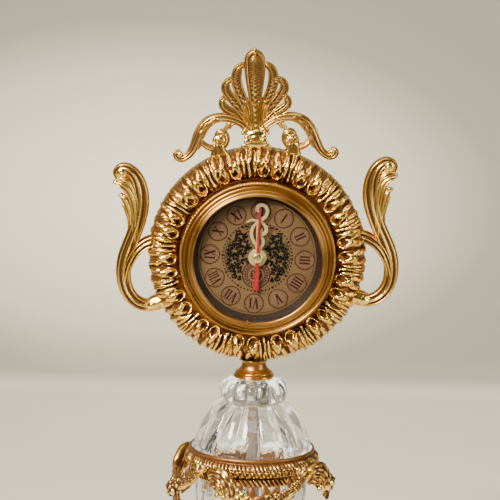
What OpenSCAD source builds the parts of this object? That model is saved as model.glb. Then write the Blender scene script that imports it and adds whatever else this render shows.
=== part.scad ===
// Brass and crystal mantel clock with a quartz insert.
// Frame: origin at the middle of the felt under the base, +Z up, the dial faces -Y, +X is the dial's right.

/* [Head] */
// Height of the dial's centre above the table
head_z = 290; // [286:1:300]
// Outer radius of the cast wreath
wreath_r = 71.5; // [71:0.1:72]
// Turn of the two handles about the wreath's centre, as they were screwed on
handle_turn = 2.6; // [0:0.1:3]
// Turn of the crest about the wreath's centre, clockwise
crest_turn = -2; // [-3:0.1:3]

/* [Insert] */
// Radius of the insert's bezel
bezel_r = 51.5; // [51.2:0.1:51.8]
// Radius of the glass that shows inside the bezel
opening_r = 42.2; // [41.6:0.1:42.4]
// Turn of the dial and hands, clockwise, as the insert was pressed in
dial_turn = 2; // [0:0.5:4]

/* [Stand] */
// Turn of the garland ring about the tie rod
garland_turn = 7; // [0:1:40]
// Radius of the base plinth
base_r = 56; // [54:1:60]
// Largest radius of the upper crystal
dome_r = 39.4; // [39:0.1:39.6]

/* [Hidden] */
$fn = 96;
brass = [0.78, 0.58, 0.24];
dark_brass = [0.45, 0.30, 0.12];
cream = [0.80, 0.74, 0.56];
crystal = [0.86, 0.90, 0.92, 0.4];
steel = [0.70, 0.70, 0.72];
black = [0.08, 0.08, 0.09];
white_plastic = [0.90, 0.89, 0.84];

// Heights of the stand's joints above the table
felt_h = 1.5;
base_top_z = 36;
stem_top_z = 58;
band_seat_r = 38;
cup_seat_z = 65.5;
washer_t = 0.5;
lower_glass_z = cup_seat_z + washer_t;
ring_bottom_z = 141.8;
ledge_z = 151;
ledge_t = 2.5;
ring_top_z = head_z - 129.6;
neck_bottom_z = head_z - 82.5;
neck_top_z = head_z - 71;
rod_r = 3;
rod_hole_r = rod_r + 0.06;
rod_top_z = head_z - 61.5;
lower_glass_top_z = ledge_z - washer_t;
upper_glass_z = ledge_z + ledge_t + washer_t;
upper_glass_top_z = neck_bottom_z - washer_t;
ring_seat_r = dome_r + 0.6;

// Depths in the head, along the axis of the hands, from the wreath's middle towards the viewer
back_z = -12;
plate_t = 1.5;
wreath_ledge_z = 5;
bore_r = 47;
can_floor_z = 5.4;
dial_z = 7.4;
dial_t = 0.8;
lens_z = 13.8;
lens_t = 1.6;
bezel_front_z = 17.6;
hour_hand_z = 10;
minute_hand_z = 10.9;
second_hand_z = 11.8;
hand_t = 0.35;

// Movement
case_half = 28;
case_wall = 1.2;
case_rear_z = -12;
case_split_z = -4;
case_front_z = 5.2;
front_wall_t = 1.4;
bay_top_y = -11.9;
battery_y = -19.4;
battery_z = -4.2;
shaft_end_z = -10.6;
bridge_z = -3.9;
bridge_t = 0.5;
arbor_r = 0.5;
pivot_gap = 0.05;

// Gear train: tooth counts, centre distances and the directions from one arbor to the next
centre_teeth = 64;
third_teeth = 60;
second_teeth = 40;
intermediate_teeth = 48;
motion_teeth = 36;
hour_teeth = 40;
small_teeth = 8;
cannon_teeth = 12;
motion_pinion_teeth = 10;
third_gap = 9;
intermediate_gap = 7.2;
rotor_gap = 7;
motion_gap = 8.64;
third_dir = 60;
intermediate_dir = 150;
rotor_dir = 120;
motion_dir = -10;
knob_dir = 30;
centre_m = 2 * third_gap / (centre_teeth + small_teeth);
third_m = 2 * third_gap / (third_teeth + small_teeth);
second_m = 2 * intermediate_gap / (second_teeth + small_teeth);
intermediate_m = 2 * rotor_gap / (intermediate_teeth + small_teeth);
motion_m = 2 * motion_gap / (motion_teeth + cannon_teeth);
hour_m = 2 * motion_gap / (hour_teeth + motion_pinion_teeth);
third_at = third_gap * [cos(third_dir), sin(third_dir)];
intermediate_at = intermediate_gap * [cos(intermediate_dir), sin(intermediate_dir)];
rotor_at = intermediate_at + rotor_gap * [cos(rotor_dir), sin(rotor_dir)];
motion_at = motion_gap * [cos(motion_dir), sin(motion_dir)];
knob_at = motion_at + motion_gap * [cos(knob_dir), sin(knob_dir)];

// ---------- general shapes ----------

// Moves its children from the head's own frame, whose z points at the viewer, into the clock's frame
module in_head() {
    translate([0, 0, head_z]) rotate([90, 0, 0]) children();
}

// A ring or disc between two radii
module tube(r_out, r_in, z, h) {
    translate([0, 0, z]) difference() {
        cylinder(r = r_out, h = h);
        translate([0, 0, -1]) cylinder(r = r_in, h = h + 2);
    }
}

// One point of a smooth curve through a list of points, at t from b to c
function spline_point(a, b, c, d, t) =
    0.5 * ((2 * b) + (c - a) * t + (2 * a - 5 * b + 4 * c - d) * t * t + (3 * b - a - 3 * c + d) * t * t * t);

// A smooth curve through the points p, with n steps between each pair; any number of values a point
function smooth(p, n) = [
    for (i = [0 : len(p) - 2], k = [0 : n - 1])
        spline_point(p[max(i - 1, 0)], p[i], p[i + 1], p[min(i + 2, len(p) - 1)], k / n),
    p[len(p) - 1]
];

// A rounded bar along points [x, y, width], with an oval section of the given depth
module bar(points, depth, steps = 2, sides = 8) {
    path = smooth(points, steps);
    for (i = [0 : len(path) - 2]) hull() {
        for (p = [path[i], path[i + 1]])
            translate([p[0], p[1], 0]) scale([p[2] / 2, p[2] / 2, depth / 2]) sphere(1, $fn = sides);
    }
}

// A flat ribbon along points [x, y, width]
module ribbon(points, steps = 3) {
    path = smooth(points, steps);
    for (i = [0 : len(path) - 2]) hull() {
        for (p = [path[i], path[i + 1]]) translate([p[0], p[1]]) circle(p[2] / 2, $fn = 16);
    }
}

// A pan-head screw along z, with its head above z = 0
module screw(shank_r, length, head_r, head_h) {
    translate([0, 0, -length]) cylinder(r = shank_r, h = length + head_h / 2);
    difference() {
        cylinder(r = head_r, h = head_h);
        translate([-head_r, -0.4, head_h * 0.5]) cube([2 * head_r, 0.8, head_h]);
    }
}

// ---------- gears ----------

tooth_share = 0.41;
pressure_angle = 20;
addendum = 0.85;
dedendum = 1.2;
function involute(angle) = tan(angle) * 180 / PI - angle;
function flank_angle(rho, teeth, m) = let (r = teeth * m / 2, base = r * cos(pressure_angle))
    tooth_share * 180 / teeth + involute(pressure_angle) - involute(acos(min(1, base / max(rho, base))));
function flank_radii(teeth, m) = let (r = teeth * m / 2, root = r - dedendum * m, base = r * cos(pressure_angle))
    concat([root], base > root ? [base] : [], [r, r + addendum * m]);

// Outline of a gear with one tooth on the direction phase
function gear_outline(teeth, m, phase) = let (radii = flank_radii(teeth, m), n = len(radii)) [
    for (t = [0 : teeth - 1], side = [-1, 1], i = [0 : n - 1])
        let (rho = side < 0 ? radii[i] : radii[n - 1 - i], a = phase + t * 360 / teeth + side * flank_angle(rho, teeth, m))
            rho * [cos(a), sin(a)]
];

// Phase of a gear in the direction dir from another one, so that their teeth mesh
function mesh_phase(dir, teeth, phase, other_teeth) =
    dir + 180 - (0.5 - (dir - phase) * teeth / 360) * 360 / other_teeth;

module gear(teeth, m, phase, z, h) {
    translate([0, 0, z]) linear_extrude(h) polygon(gear_outline(teeth, m, phase));
}

module arbor(r, z0, z1) {
    translate([0, 0, z0]) cylinder(r = r, h = z1 - z0, $fn = 48);
}

motion_phase = mesh_phase(motion_dir, cannon_teeth, 0, motion_teeth);

// ---------- stand ----------

module felt_pad() color([0.12, 0.20, 0.14]) cylinder(r = base_r - 3, h = felt_h);

// Cast plinth in three round steps, with a pocket below for the rod's nut
module base_plinth() color(brass) rotate_extrude() polygon(concat(
    [[rod_hole_r, 16], [13, 16], [13, felt_h], [base_r - 1, felt_h], [base_r, 3], [base_r, 9], [base_r - 1.5, 10.5]],
    [for (a = [0 : 15 : 90]) [base_r - 3 - 7 * sin(a), 18 - 7 * cos(a)]],
    [[band_seat_r, 18]],
    [for (a = [0 : 15 : 90]) [22 + (band_seat_r - 22) * (1 - sin(a)), 34 - 8 * cos(a)]],
    [[20.5, 34], [20.5, base_top_z], [rod_hole_r, base_top_z]]
));

// Separate leafy ring that drops over the plinth's upper step and rests on the lower one
module base_leaf_band() color(brass) rotate_extrude() polygon(concat(
    [[band_seat_r + 0.05, 18.05], [base_r - 12, 18.05]],
    [for (a = [-60 : 20 : 60]) [base_r - 15.6 + 4.6 * cos(a), 21.9 + 4.4 * sin(a)]],
    [[base_r - 14.4, 25.9], [band_seat_r + 0.05, 25.9]]
));

module rod_nuts() color(steel) for (z = [8.5, head_z - 67]) translate([0, 0, z]) difference() {
    cylinder(r = 5.7, h = 5, $fn = 6);
    translate([0, 0, -1]) cylinder(r = rod_hole_r, h = 8);
}

module rod_washer() color(steel) tube(9, rod_hole_r, 13.6, 2.3);

// Turned stem with a round knop
module stem() color(brass) rotate_extrude() polygon(concat(
    [[rod_hole_r, base_top_z], [17, base_top_z], [17.5, base_top_z + 1.5], [16, base_top_z + 3], [9.5, base_top_z + 6]],
    [for (a = [-60 : 15 : 60]) [6.5 + 7.5 * cos(a), 48 + 5.4 * sin(a)]],
    [[9, 54], [11.5, 56.5], [11.5, stem_top_z], [rod_hole_r, stem_top_z]]
));

// Leafy cup that holds the foot of the lower crystal
module calyx() color(brass) rotate_extrude() polygon([
    [rod_hole_r, stem_top_z], [11, stem_top_z], [13, 61], [14.5, 65], [17, 70], [21, 76.5], [20, 77.5],
    [16.5, 73], [13.6, 69], [12.6, cup_seat_z], [rod_hole_r, cup_seat_z]
]);

// Blown urn: its wall is about 5 mm thick, and it is open at the top
module lower_crystal() color(crystal) rotate_extrude() polygon([
    [rod_hole_r + 0.5, lower_glass_z], [11.5, lower_glass_z], [12.6, 69.5], [15.5, 74.5], [20.5, 82], [26.5, 92],
    [31.8, 103], [35.3, 115], [37, 128], [37.4, 140], [37.4, lower_glass_top_z],
    [32.4, lower_glass_top_z], [32.2, 128], [30.5, 116], [26.8, 104], [21.5, 93], [14, 84], [6, 80],
    [rod_hole_r + 0.5, 80]
]);

// Thin clear washers that keep glass and brass apart
module glass_washers() color([0.85, 0.85, 0.8, 0.6]) {
    tube(11, rod_hole_r, cup_seat_z, washer_t);
    tube(37.2, 33.2, lower_glass_top_z, washer_t);
    tube(38, 34.6, ledge_z + ledge_t, washer_t);
    tube(11, rod_hole_r, upper_glass_top_z, washer_t);
}

// Gallery ring: plain fillet on top, a swelling leaf moulding, and a recessed band below
module garland_ring() color(brass) rotate_extrude() polygon(concat(
    [[34.6, ledge_z], [37.8, ledge_z], [37.8, ring_bottom_z], [40.2, ring_bottom_z], [40.6, 148.6]],
    [for (a = [-70 : 17.5 : 70]) [40.6 + 3.8 * cos(a), 153 + 4 * sin(a)]],
    [[41.2, ring_top_z - 2.6], [41.4, ring_top_z - 0.4], [41, ring_top_z], [ring_seat_r, ring_top_z]],
    [[ring_seat_r, ledge_z + ledge_t], [34.6, ledge_z + ledge_t]]
));

// One festoon, from the hook at its left to the next, a quarter turn on
festoon_hook_r = 46;
festoon_hook_z = 148;
festoon_out = 5;
festoon_sag = 15;
function festoon_size(t) = 11.5 - 5.5 * t + 2.5 * pow(sin(180 * t), 4);
module festoon(start) {
    steps = 12;
    color(brass) difference() {
        for (i = [0 : steps - 1]) hull() {
            for (t = [i / steps, (i + 1) / steps])
                rotate([0, 0, start + 5.8 + 78.4 * t])
                    translate([festoon_hook_r + festoon_out * sin(180 * t), 0, festoon_hook_z - festoon_sag * sin(180 * t)])
                        sphere(d = festoon_size(t), $fn = 12);
        }
        rotate([0, 0, start]) rotate_extrude($fn = 180) polygon([
            [30, 130], [40.8, 130], [40.8, 148.3], [42.9, 149.0], [44.7, 151.4], [44.7, 158], [30, 158]
        ]);
    }
}
module garland_front() festoon(-135 + garland_turn);
module garland_right() festoon(-45 + garland_turn);
module garland_back() festoon(45 + garland_turn);
module garland_left() festoon(135 + garland_turn);

// Thick-walled dome under a round collar, open at the bottom
module upper_crystal() color(crystal) {
    z = upper_glass_z;
    rotate_extrude() polygon(concat(
        [[dome_r - 5.4, z], [dome_r, z], [dome_r, z + 6], [dome_r - 1.6, head_z - 124.3], [dome_r - 3.9, head_z - 117.5]],
        [[dome_r - 7.2, head_z - 110.8], [dome_r - 11.8, head_z - 104], [dome_r - 15.8, head_z - 100.8]],
        [for (a = [-70 : 20 : 70]) [14 + 8.3 * cos(a), head_z - 91.2 + 7.8 * sin(a)]],
        [[15, upper_glass_top_z], [rod_hole_r + 0.5, upper_glass_top_z], [rod_hole_r + 0.5, head_z - 104]],
        [[10, head_z - 106], [20, head_z - 110], [27, head_z - 116], [31.5, head_z - 124], [dome_r - 5.4, head_z - 132]]
    ));
}

module tie_rod() color(steel) translate([0, 0, 6]) cylinder(r = rod_r, h = rod_top_z - 6);

// Spun foot of the head, from the crystal's collar up to the wreath
module neck_collar() color(brass) difference() {
    rotate_extrude() polygon([
        [rod_hole_r, neck_bottom_z], [12.6, neck_bottom_z], [13.5, neck_bottom_z + 0.8], [13.5, neck_bottom_z + 1.8],
        [12.2, neck_bottom_z + 2.6], [12.4, neck_bottom_z + 3.6], [10.6, neck_bottom_z + 4.6],
        [8.8, neck_bottom_z + 6.4], [8.3, neck_top_z], [rod_hole_r, neck_top_z]
    ]);
    in_head() cylinder(r = wreath_r + 0.05, h = 40, center = true);
}

// ---------- wreath, crest and handles ----------

wreath_wall = 3;
handle_lugs = [8.1, -24.8];
crest_lug_x = 25;
back_screw_r = 59;
function crown(offset) = [for (a = [0 : 15 : 150])
    [62.4 + (wreath_r - 62.4 - offset) * cos(a), (12.2 - offset) * sin(a)]];

// Hollow cast ring, open at the back, with a rib inside that takes the back plate's screws
module wreath() color(brass) in_head() difference() {
    rotate_extrude() polygon(concat(
        [[wreath_r - 0.6, back_z]], crown(0), [[52.4, wreath_ledge_z], [bore_r, wreath_ledge_z], [bore_r, back_z]],
        [[bore_r + wreath_wall, back_z], [bore_r + wreath_wall, wreath_ledge_z - wreath_wall], [56.8, 5.6]],
        [[back_screw_r - 2.2, back_z], [back_screw_r + 2.2, back_z], [back_screw_r + 2.2, 9]],
        [for (i = [5 : -1 : 1]) crown(wreath_wall)[i]], [[wreath_r - 0.6 - wreath_wall, back_z]]
    ));
    rotate([0, 0, -90]) translate([64, 0, 0]) rotate([0, 90, 0]) cylinder(r = rod_hole_r, h = 10);
    for (a = [45 : 90 : 315]) rotate([0, 0, a])
        translate([back_screw_r, 0, back_z - 1]) cylinder(r = 1.25, h = 10);
    for (side = [0, 180], lug = handle_lugs)
        rotate([0, 0, handle_turn + side + (side ? -lug : lug)]) translate([64, 0, 0]) rotate([0, 90, 0])
            cylinder(r = 1.6, h = 10);
    for (x = [-crest_lug_x, 0, crest_lug_x])
        rotate([0, 0, 90 - crest_turn - asin(x / wreath_r)]) translate([64, 0, 0]) rotate([0, 90, 0])
            cylinder(r = 1.6, h = 10);
}

// Half of the crest: three looped petals, the long arm, and the small scroll that curls inside it
petals = [
    [[3, 20, 4], [7.8, 33, 4.6], [11.9, 41, 5.4], [12.9, 48, 5.4], [10.9, 53.5, 4.6], [6.5, 55.5, 3.2]],
    [[3, 17, 4], [9, 27.5, 4.4], [15.8, 33.5, 5.2], [19.6, 39, 5.3], [19.1, 43.6, 4.4], [15, 45.8, 3.2]],
    [[4, 15, 4], [12, 22.2, 4.4], [18.8, 26.2, 5], [21.8, 30, 4.2], [21.2, 33, 3.8], [18.5, 33.4, 3.1]]
];
crest_arm = [[4, 13, 4], [10, 18, 4.2], [17, 21, 4.4], [25, 21, 4.6], [32, 17.6, 5.4], [36.5, 11, 5.6],
    [39.5, 4, 4.6], [43, -3, 4], [48, -6.6, 4.4], [51.4, -5, 4.6], [51, -2, 3.6]];
crest_scroll = [[36.5, 10, 3.5], [33.5, 4, 3.6], [27, 0.4, 4.6], [21.8, 1.8, 4.8], [19.8, 6.6, 4.4], [22.8, 9.8, 3.6],
    [25, 7, 3], [22.9, 5, 3]];
crest_link = [[15, 20, 3], [18.4, 15, 2.6], [19.8, 9, 3]];
module crest() color(brass) in_head() rotate([0, 0, -crest_turn]) difference() {
    translate([0, wreath_r, 0]) {
        bar([[0, 2, 13.6], [0, 9, 12.6], [0, 18, 16], [0, 28, 13], [0, 36, 8.4], [0, 43, 10.4], [0, 54, 13.6], [0, 60, 12], [0, 64, 5]], 5.5, 1);
        for (side = [0, 1]) mirror([side, 0, 0]) {
            for (petal = petals) bar(petal, 4.6);
            bar(crest_arm, 5, 1);
            bar(crest_scroll, 5, 1);
            bar(crest_link, 3.4, 1);
            bar([[24, 1, 8], [23.4, -2.6, 9]], 7, 1);
        }
        translate([-8.4, 0.4, -5]) cube([16.8, 3, 10]);
    }
    cylinder(r = wreath_r + 0.05, h = 40, center = true, $fn = 180);
    for (x = [-crest_lug_x, 0, crest_lug_x])
        rotate([0, 0, -asin(x / wreath_r)]) rotate([-90, 0, 0]) cylinder(r = 1.25, h = wreath_r + 4, $fn = 24);
}

// The three screws run outwards from inside the wreath into the crest
module crest_screws() color(steel) in_head() rotate([0, 0, -crest_turn]) for (x = [-crest_lug_x, 0, crest_lug_x])
    rotate([0, 0, -asin(x / wreath_r)]) translate([0, wreath_r - wreath_wall - 0.7, 0]) rotate([90, 0, 0])
        screw(1.2, 7.4, 2.4, 1.6);

// Scrolled handle on the dial's right, before it is turned: stem, two leaf lobes and the branch to its upper lug
handle_stem = [[66, -30, 9], [71, -32, 8.6], [78, -31, 8.6], [84, -26, 9], [87.8, -17, 9.4], [88.2, -6.5, 9.8],
    [86, 4, 9.6], [81.8, 15, 9.4], [78, 26, 10.4], [76, 37, 12], [77.4, 48, 12], [82, 56, 10.5], [87, 59, 9.5]];
handle_lobe = [[84, 8, 4], [84.4, 20, 5], [83, 32, 7], [84.6, 41, 7], [88, 46.4, 5.6], [91, 50, 4]];
handle_leaf = [[86, 12, 3], [85.6, 24, 3.4], [86, 33, 4], [87.4, 38.4, 3]];
handle_branch = [[86, -12, 5], [84.4, -5, 5], [81, 2, 5], [76.6, 7, 5.6], [71, 10, 8]];
module handle() difference() {
    union() {
        bar(handle_stem, 9, 2, 12);
        bar(handle_lobe, 7);
        bar(handle_leaf, 6);
        bar(handle_branch, 7);
    }
    cylinder(r = wreath_r + 0.05, h = 40, center = true, $fn = 180);
    for (lug = handle_lugs) rotate([0, 0, lug]) rotate([0, 90, 0]) cylinder(r = 1.25, h = wreath_r + 5, $fn = 24);
}
module handle_right() color(brass) in_head() rotate([0, 0, handle_turn]) handle();
module handle_left() color(brass) in_head() rotate([0, 0, handle_turn]) mirror([1, 0, 0]) handle();

module handle_screws() color(steel) in_head() rotate([0, 0, handle_turn])
    for (side = [0, 1], lug = handle_lugs) mirror([side, 0, 0]) rotate([0, 0, lug])
        translate([wreath_r - wreath_wall - 0.7, 0, 0]) rotate([0, -90, 0]) screw(1.2, 8, 2.4, 1.6);

// Flat ring that closes the wreath's back and leaves the movement open
module back_plate() color(brass) in_head() difference() {
    tube(wreath_r - 1.2, bore_r, back_z - plate_t, plate_t);
    for (a = [45 : 90 : 315]) rotate([0, 0, a])
        translate([back_screw_r, 0, back_z - plate_t - 1]) cylinder(r = 1.6, h = 4);
}
module back_plate_screws() color(steel) in_head() for (a = [45 : 90 : 315])
    rotate([0, 0, a]) translate([back_screw_r, 0, back_z - plate_t]) rotate([180, 0, 0]) screw(1.2, 9, 2.8, 1.6);

// ---------- insert: bezel, glass, dial and can ----------

module bezel() color(brass) in_head() rotate_extrude() polygon(concat(
    [[bezel_r, wreath_ledge_z + 0.2], [bezel_r, 12.6]],
    [for (a = [0 : 30 : 150]) [bezel_r - 1.3 + 1.3 * cos(a), 13.4 + 1.3 * sin(a)]],
    [[bezel_r - 3.6, 13.6], [bezel_r - 5.1, 15.4]],
    [for (a = [20 : 40 : 140]) [bezel_r - 6 + 0.8 * cos(a), 15.9 + 0.8 * sin(a)]],
    [[bezel_r - 7.4, 16.7], [bezel_r - 8.4, bezel_front_z], [bezel_r - 9.3, bezel_front_z], [opening_r, 16.8]],
    [[opening_r, lens_z + lens_t + 0.1], [44.7, lens_z + lens_t + 0.1], [44.7, dial_z + 0.2]],
    [[49.3, dial_z + 0.2], [49.3, wreath_ledge_z + 0.2]]
));

module lens() color([0.9, 0.93, 0.93, 0.25]) in_head() translate([0, 0, lens_z]) cylinder(r = 44.4, h = lens_t);

// Dark sloping wall between the dial and the glass
module rehaut_ring() color(black) in_head() rotate_extrude() polygon([
    [44.4, dial_z + dial_t + 0.05], [44.4, lens_z - 0.05], [42.6, lens_z - 0.05], [38.8, dial_z + dial_t + 0.05]
]);

module dial() color([0.76, 0.66, 0.42]) in_head() tube(44.2, 4.1, dial_z + 0.02, dial_t);

// Moulded can: a floor behind the dial, a lip under the bezel, and a wall that fills the wreath's bore
module insert_can() color(black) in_head() difference() {
    union() {
        translate([0, 0, can_floor_z]) cylinder(r = 49, h = dial_z - can_floor_z);
        translate([0, 0, -11]) cylinder(r = 45.4, h = can_floor_z + 11.5);
    }
    translate([0, 0, -12]) cylinder(r = 43.6, h = can_floor_z + 12);
    translate([0, 0, 0]) cylinder(r = 4.1, h = 20);
}

// Ribbed rubber band that grips the bore
module insert_gasket() color(black) in_head() rotate_extrude() polygon(concat(
    [[45.45, -8], [46.2, -8]],
    [for (i = [0 : 3]) each [[46.8, -7.4 + 2.6 * i], [46.8, -6.6 + 2.6 * i], [46.1, -6 + 2.6 * i]]],
    [[45.45, 2.4]]
));

// ---------- movement ----------

module case_outline(inset) {
    side = 2 * (case_half - inset);
    square([side, side], center = true);
}

// Small cup for the end of an arbor
module pivot_cup(at, r, z, h) {
    translate([at[0], at[1], z]) difference() {
        cylinder(r = r + 0.8, h = h, $fn = 48);
        translate([0, 0, -1]) cylinder(r = r + pivot_gap, h = h + 2, $fn = 48);
    }
}

module movement_front_case() color(black) in_head() {
    difference() {
        translate([0, 0, case_split_z]) linear_extrude(case_front_z - case_split_z) case_outline(0);
        translate([0, 0, case_split_z - 1])
            linear_extrude(case_front_z - front_wall_t - case_split_z + 1) case_outline(case_wall);
        translate([0, 0, 2]) cylinder(r = 4.02, h = 5);
    }
    translate([-case_half + case_wall, bay_top_y, case_split_z])
        cube([2 * (case_half - case_wall), 0.8, case_front_z - front_wall_t - case_split_z + 0.1]);
    pivot_cup(third_at, arbor_r, 2.6, 1.3);
    translate([motion_at[0], motion_at[1], 0.5]) cylinder(r = 0.7, h = 3.4, $fn = 48);
}

module movement_rear_case() color(black) in_head() {
    difference() {
        translate([0, 0, case_rear_z]) linear_extrude(case_split_z - case_rear_z) case_outline(0);
        translate([0, 0, case_rear_z + case_wall]) linear_extrude(20) case_outline(case_wall);
        translate([-case_half + case_wall, -case_half + case_wall, case_rear_z - 1])
            cube([2 * (case_half - case_wall), bay_top_y + case_half - case_wall, 20]);
        translate([knob_at[0], knob_at[1], case_rear_z - 1]) cylinder(r = 1.55, h = 4, $fn = 48);
    }
    translate([-case_half + case_wall, bay_top_y, case_rear_z])
        cube([2 * (case_half - case_wall), 0.8, case_split_z - case_rear_z]);
    for (at = [[0, 0], third_at, intermediate_at, rotor_at]) pivot_cup(at, arbor_r, case_rear_z + case_wall - 0.1, 0.6);
}

module centre_bushing() color(brass) in_head() tube(4, 2.45, 3.85, 5.75);

module bushing_nut() color(brass) in_head() translate([0, 0, dial_z + dial_t + 0.05]) difference() {
    cylinder(r = 5.8, h = 1.3, $fn = 6);
    translate([0, 0, -1]) cylinder(r = 4.02, h = 4);
}

// Plate on two posts that holds the front ends of the rotor's and the intermediate wheel's arbors
module train_bridge() color(white_plastic) in_head() {
    posts = [[-15, 2], [2, 14]];
    difference() {
        translate([0, 0, bridge_z]) linear_extrude(bridge_t) {
            translate([-17, 0]) square([15, 13.4]);
            translate([-8, 8]) square([11.6, 8]);
        }
        for (at = [rotor_at, intermediate_at])
            translate([at[0], at[1], bridge_z - 1]) cylinder(r = arbor_r + pivot_gap, h = 3, $fn = 48);
        translate([0, 0, bridge_z - 1]) cylinder(r = 2.6, h = 3);
        translate([third_at[0], third_at[1], bridge_z - 1]) cylinder(r = 1.2, h = 3);
    }
    for (at = posts) translate([at[0], at[1], case_rear_z + case_wall])
        cylinder(r = 0.9, h = bridge_z - case_rear_z - case_wall + 0.1, $fn = 48);
}

module circuit_board() color([0.10, 0.32, 0.20]) in_head() {
    translate([8, 13, -9.6]) cube([17, 12.6, 0.8]);
    translate([20, 18, -8.8]) cylinder(r = 2.6, h = 1, $fn = 48);
}
module quartz_can() color(steel) in_head() translate([9.5, 23, -7.7]) rotate([0, 90, 0]) cylinder(r = 1, h = 6.2, $fn = 48);

coil_x = -21;
module coil() color([0.72, 0.36, 0.18]) in_head() difference() {
    union() {
        translate([coil_x, -4, -8.2]) rotate([-90, 0, 0]) cylinder(r = 2.3, h = 22);
        for (y = [-5, 17]) translate([coil_x, y, -8.2]) rotate([-90, 0, 0]) cylinder(r = 2.6, h = 1);
    }
    translate([coil_x - 1.25, -10, -9.25]) cube([2.5, 32, 1.1]);
}
module stator() color(steel) in_head() translate([0, 0, -9.2]) linear_extrude(1) difference() {
    union() {
        translate([coil_x - 1.2, -9]) square([2.4, 30]);
        translate([coil_x - 1.2, 18.4]) square([14.6, 2.6]);
        translate([coil_x - 1.2, -9]) square([11.2, 2.4]);
        translate([-14, -9]) square([2.8, 15]);
        translate([-14, 5.6]) square([8.4, 15.4]);
    }
    translate(rotor_at) circle(r = 3.5);
}

module positive_contact() color(steel) in_head() {
    translate([25.9, -24, -10]) cube([0.6, 9, 12]);
    translate([25.9, -15.4, -10]) cube([0.6, 3, 1]);
}
module negative_contact() color(steel) in_head() {
    translate([-26.5, -24, -10]) cube([0.5, 9, 12]);
    for (i = [0 : 1]) translate([-26, battery_y, battery_z]) rotate([0, 90, 0]) tube(4.5 - 1.6 * i, 4 - 1.6 * i, -0.05, 0.4 + 0.25 * i);
}

// ---------- wheels and hands ----------

module rotor() in_head() translate(concat(rotor_at, 0)) {
    color(black) tube(3, arbor_r - 0.05, -9.9, 2.4);
    color(white_plastic) difference() {
        gear(small_teeth, intermediate_m, 0, -7.5, 1.7);
        translate([0, 0, -8]) cylinder(r = arbor_r - 0.05, h = 3, $fn = 48);
    }
    color(steel) arbor(arbor_r - 0.05, shaft_end_z, bridge_z + bridge_t - 0.05);
}

module intermediate_wheel() color(white_plastic) in_head() translate(concat(intermediate_at, 0)) {
    gear(intermediate_teeth, intermediate_m, mesh_phase(rotor_dir - 180, small_teeth, 0, intermediate_teeth), -7, 0.8);
    gear(small_teeth, second_m, 0, -6.2, 2);
    arbor(arbor_r, shaft_end_z, bridge_z + bridge_t - 0.05);
}

module second_wheel() color(brass) in_head() {
    gear(second_teeth, second_m, mesh_phase(intermediate_dir - 180, small_teeth, 0, second_teeth), -5.2, 0.8);
    gear(small_teeth, third_m, 0, -4.4, 2.6);
    arbor(arbor_r, shaft_end_z, -5.1);
    arbor(0.62, -4.4, second_hand_z + 0.8);
}

module third_wheel() color(brass) in_head() translate(concat(third_at, 0)) {
    gear(third_teeth, third_m, mesh_phase(third_dir, small_teeth, 0, third_teeth), -3, 0.9);
    gear(small_teeth, centre_m, 0, -2.1, 2.5);
    arbor(arbor_r, shaft_end_z, 3.6);
}

cannon_r = 1.5;
cannon_bore_r = 0.7;
module centre_wheel() color(brass) in_head() difference() {
    union() {
        gear(centre_teeth, centre_m, mesh_phase(third_dir - 180, small_teeth, 0, centre_teeth), -0.9, 1);
        gear(cannon_teeth, motion_m, 0, 0.05, 2);
        arbor(cannon_r, -1.2, minute_hand_z + 0.6);
    }
    translate([0, 0, -5]) cylinder(r = cannon_bore_r, h = 30, $fn = 48);
}

module motion_wheel() color(brass) in_head() translate(concat(motion_at, 0)) difference() {
    union() {
        gear(motion_teeth, motion_m, motion_phase, 0.7, 1);
        gear(motion_pinion_teeth, hour_m, 0, 1.6, 2);
    }
    translate([0, 0, -1]) cylinder(r = 0.76, h = 6, $fn = 48);
}

module hour_wheel() color(brass) in_head() difference() {
    union() {
        gear(hour_teeth, hour_m, mesh_phase(motion_dir - 180, motion_pinion_teeth, 0, hour_teeth), 2.4, 1);
        arbor(2.38, 2.4, hour_hand_z + 0.55);
    }
    translate([0, 0, -5]) cylinder(r = cannon_r + 0.07, h = 30, $fn = 48);
}

// Serpentine hour hand: a leaf of two opposed curls on a round boss
module hour_hand() color(cream) in_head() rotate([0, 0, -dial_turn]) translate([0, 0, hour_hand_z]) linear_extrude(hand_t) difference() {
    union() {
        circle(r = 5.9);
        ribbon([[0, 5, 3], [-1.8, 9.6, 1.8], [-4.2, 13.6, 1.9], [-4.6, 17.2, 1.9], [-3.2, 20.6, 1.6], [0, 23.4, 1.5]]);
        ribbon([[0.4, 7.6, 2], [3, 9.8, 1.8], [4.4, 12.4, 1.9], [3, 14.6, 1.7], [1, 15.4, 1.4], [2.4, 16.4, 1.6]]);
        ribbon([[2.4, 16.4, 1.6], [4.4, 18.4, 1.9], [3.6, 21.2, 1.8], [0, 23.4, 1.5]]);
        ribbon([[0, 23.4, 1.5], [-2, 25, 1.6], [-3.4, 27.4, 1]]);
    }
    circle(r = 2.41);
}

// Minute hand: a slim bar that ends in an open crook
module minute_hand() color(cream) in_head() rotate([0, 0, -dial_turn]) translate([0, 0, minute_hand_z]) linear_extrude(hand_t) difference() {
    union() {
        circle(r = 4.6);
        ribbon([[0, 3, 2.6], [0, 12, 1.7], [0, 20, 1.5], [0.4, 24.4, 1.6], [3.4, 26.8, 1.7], [5.2, 30.2, 1.8],
            [4.2, 33.6, 1.8], [1.2, 35, 1.8], [-1.2, 33.6, 1.9], [-1.2, 31.4, 2.2]]);
    }
    circle(r = cannon_r + 0.03);
}

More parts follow.
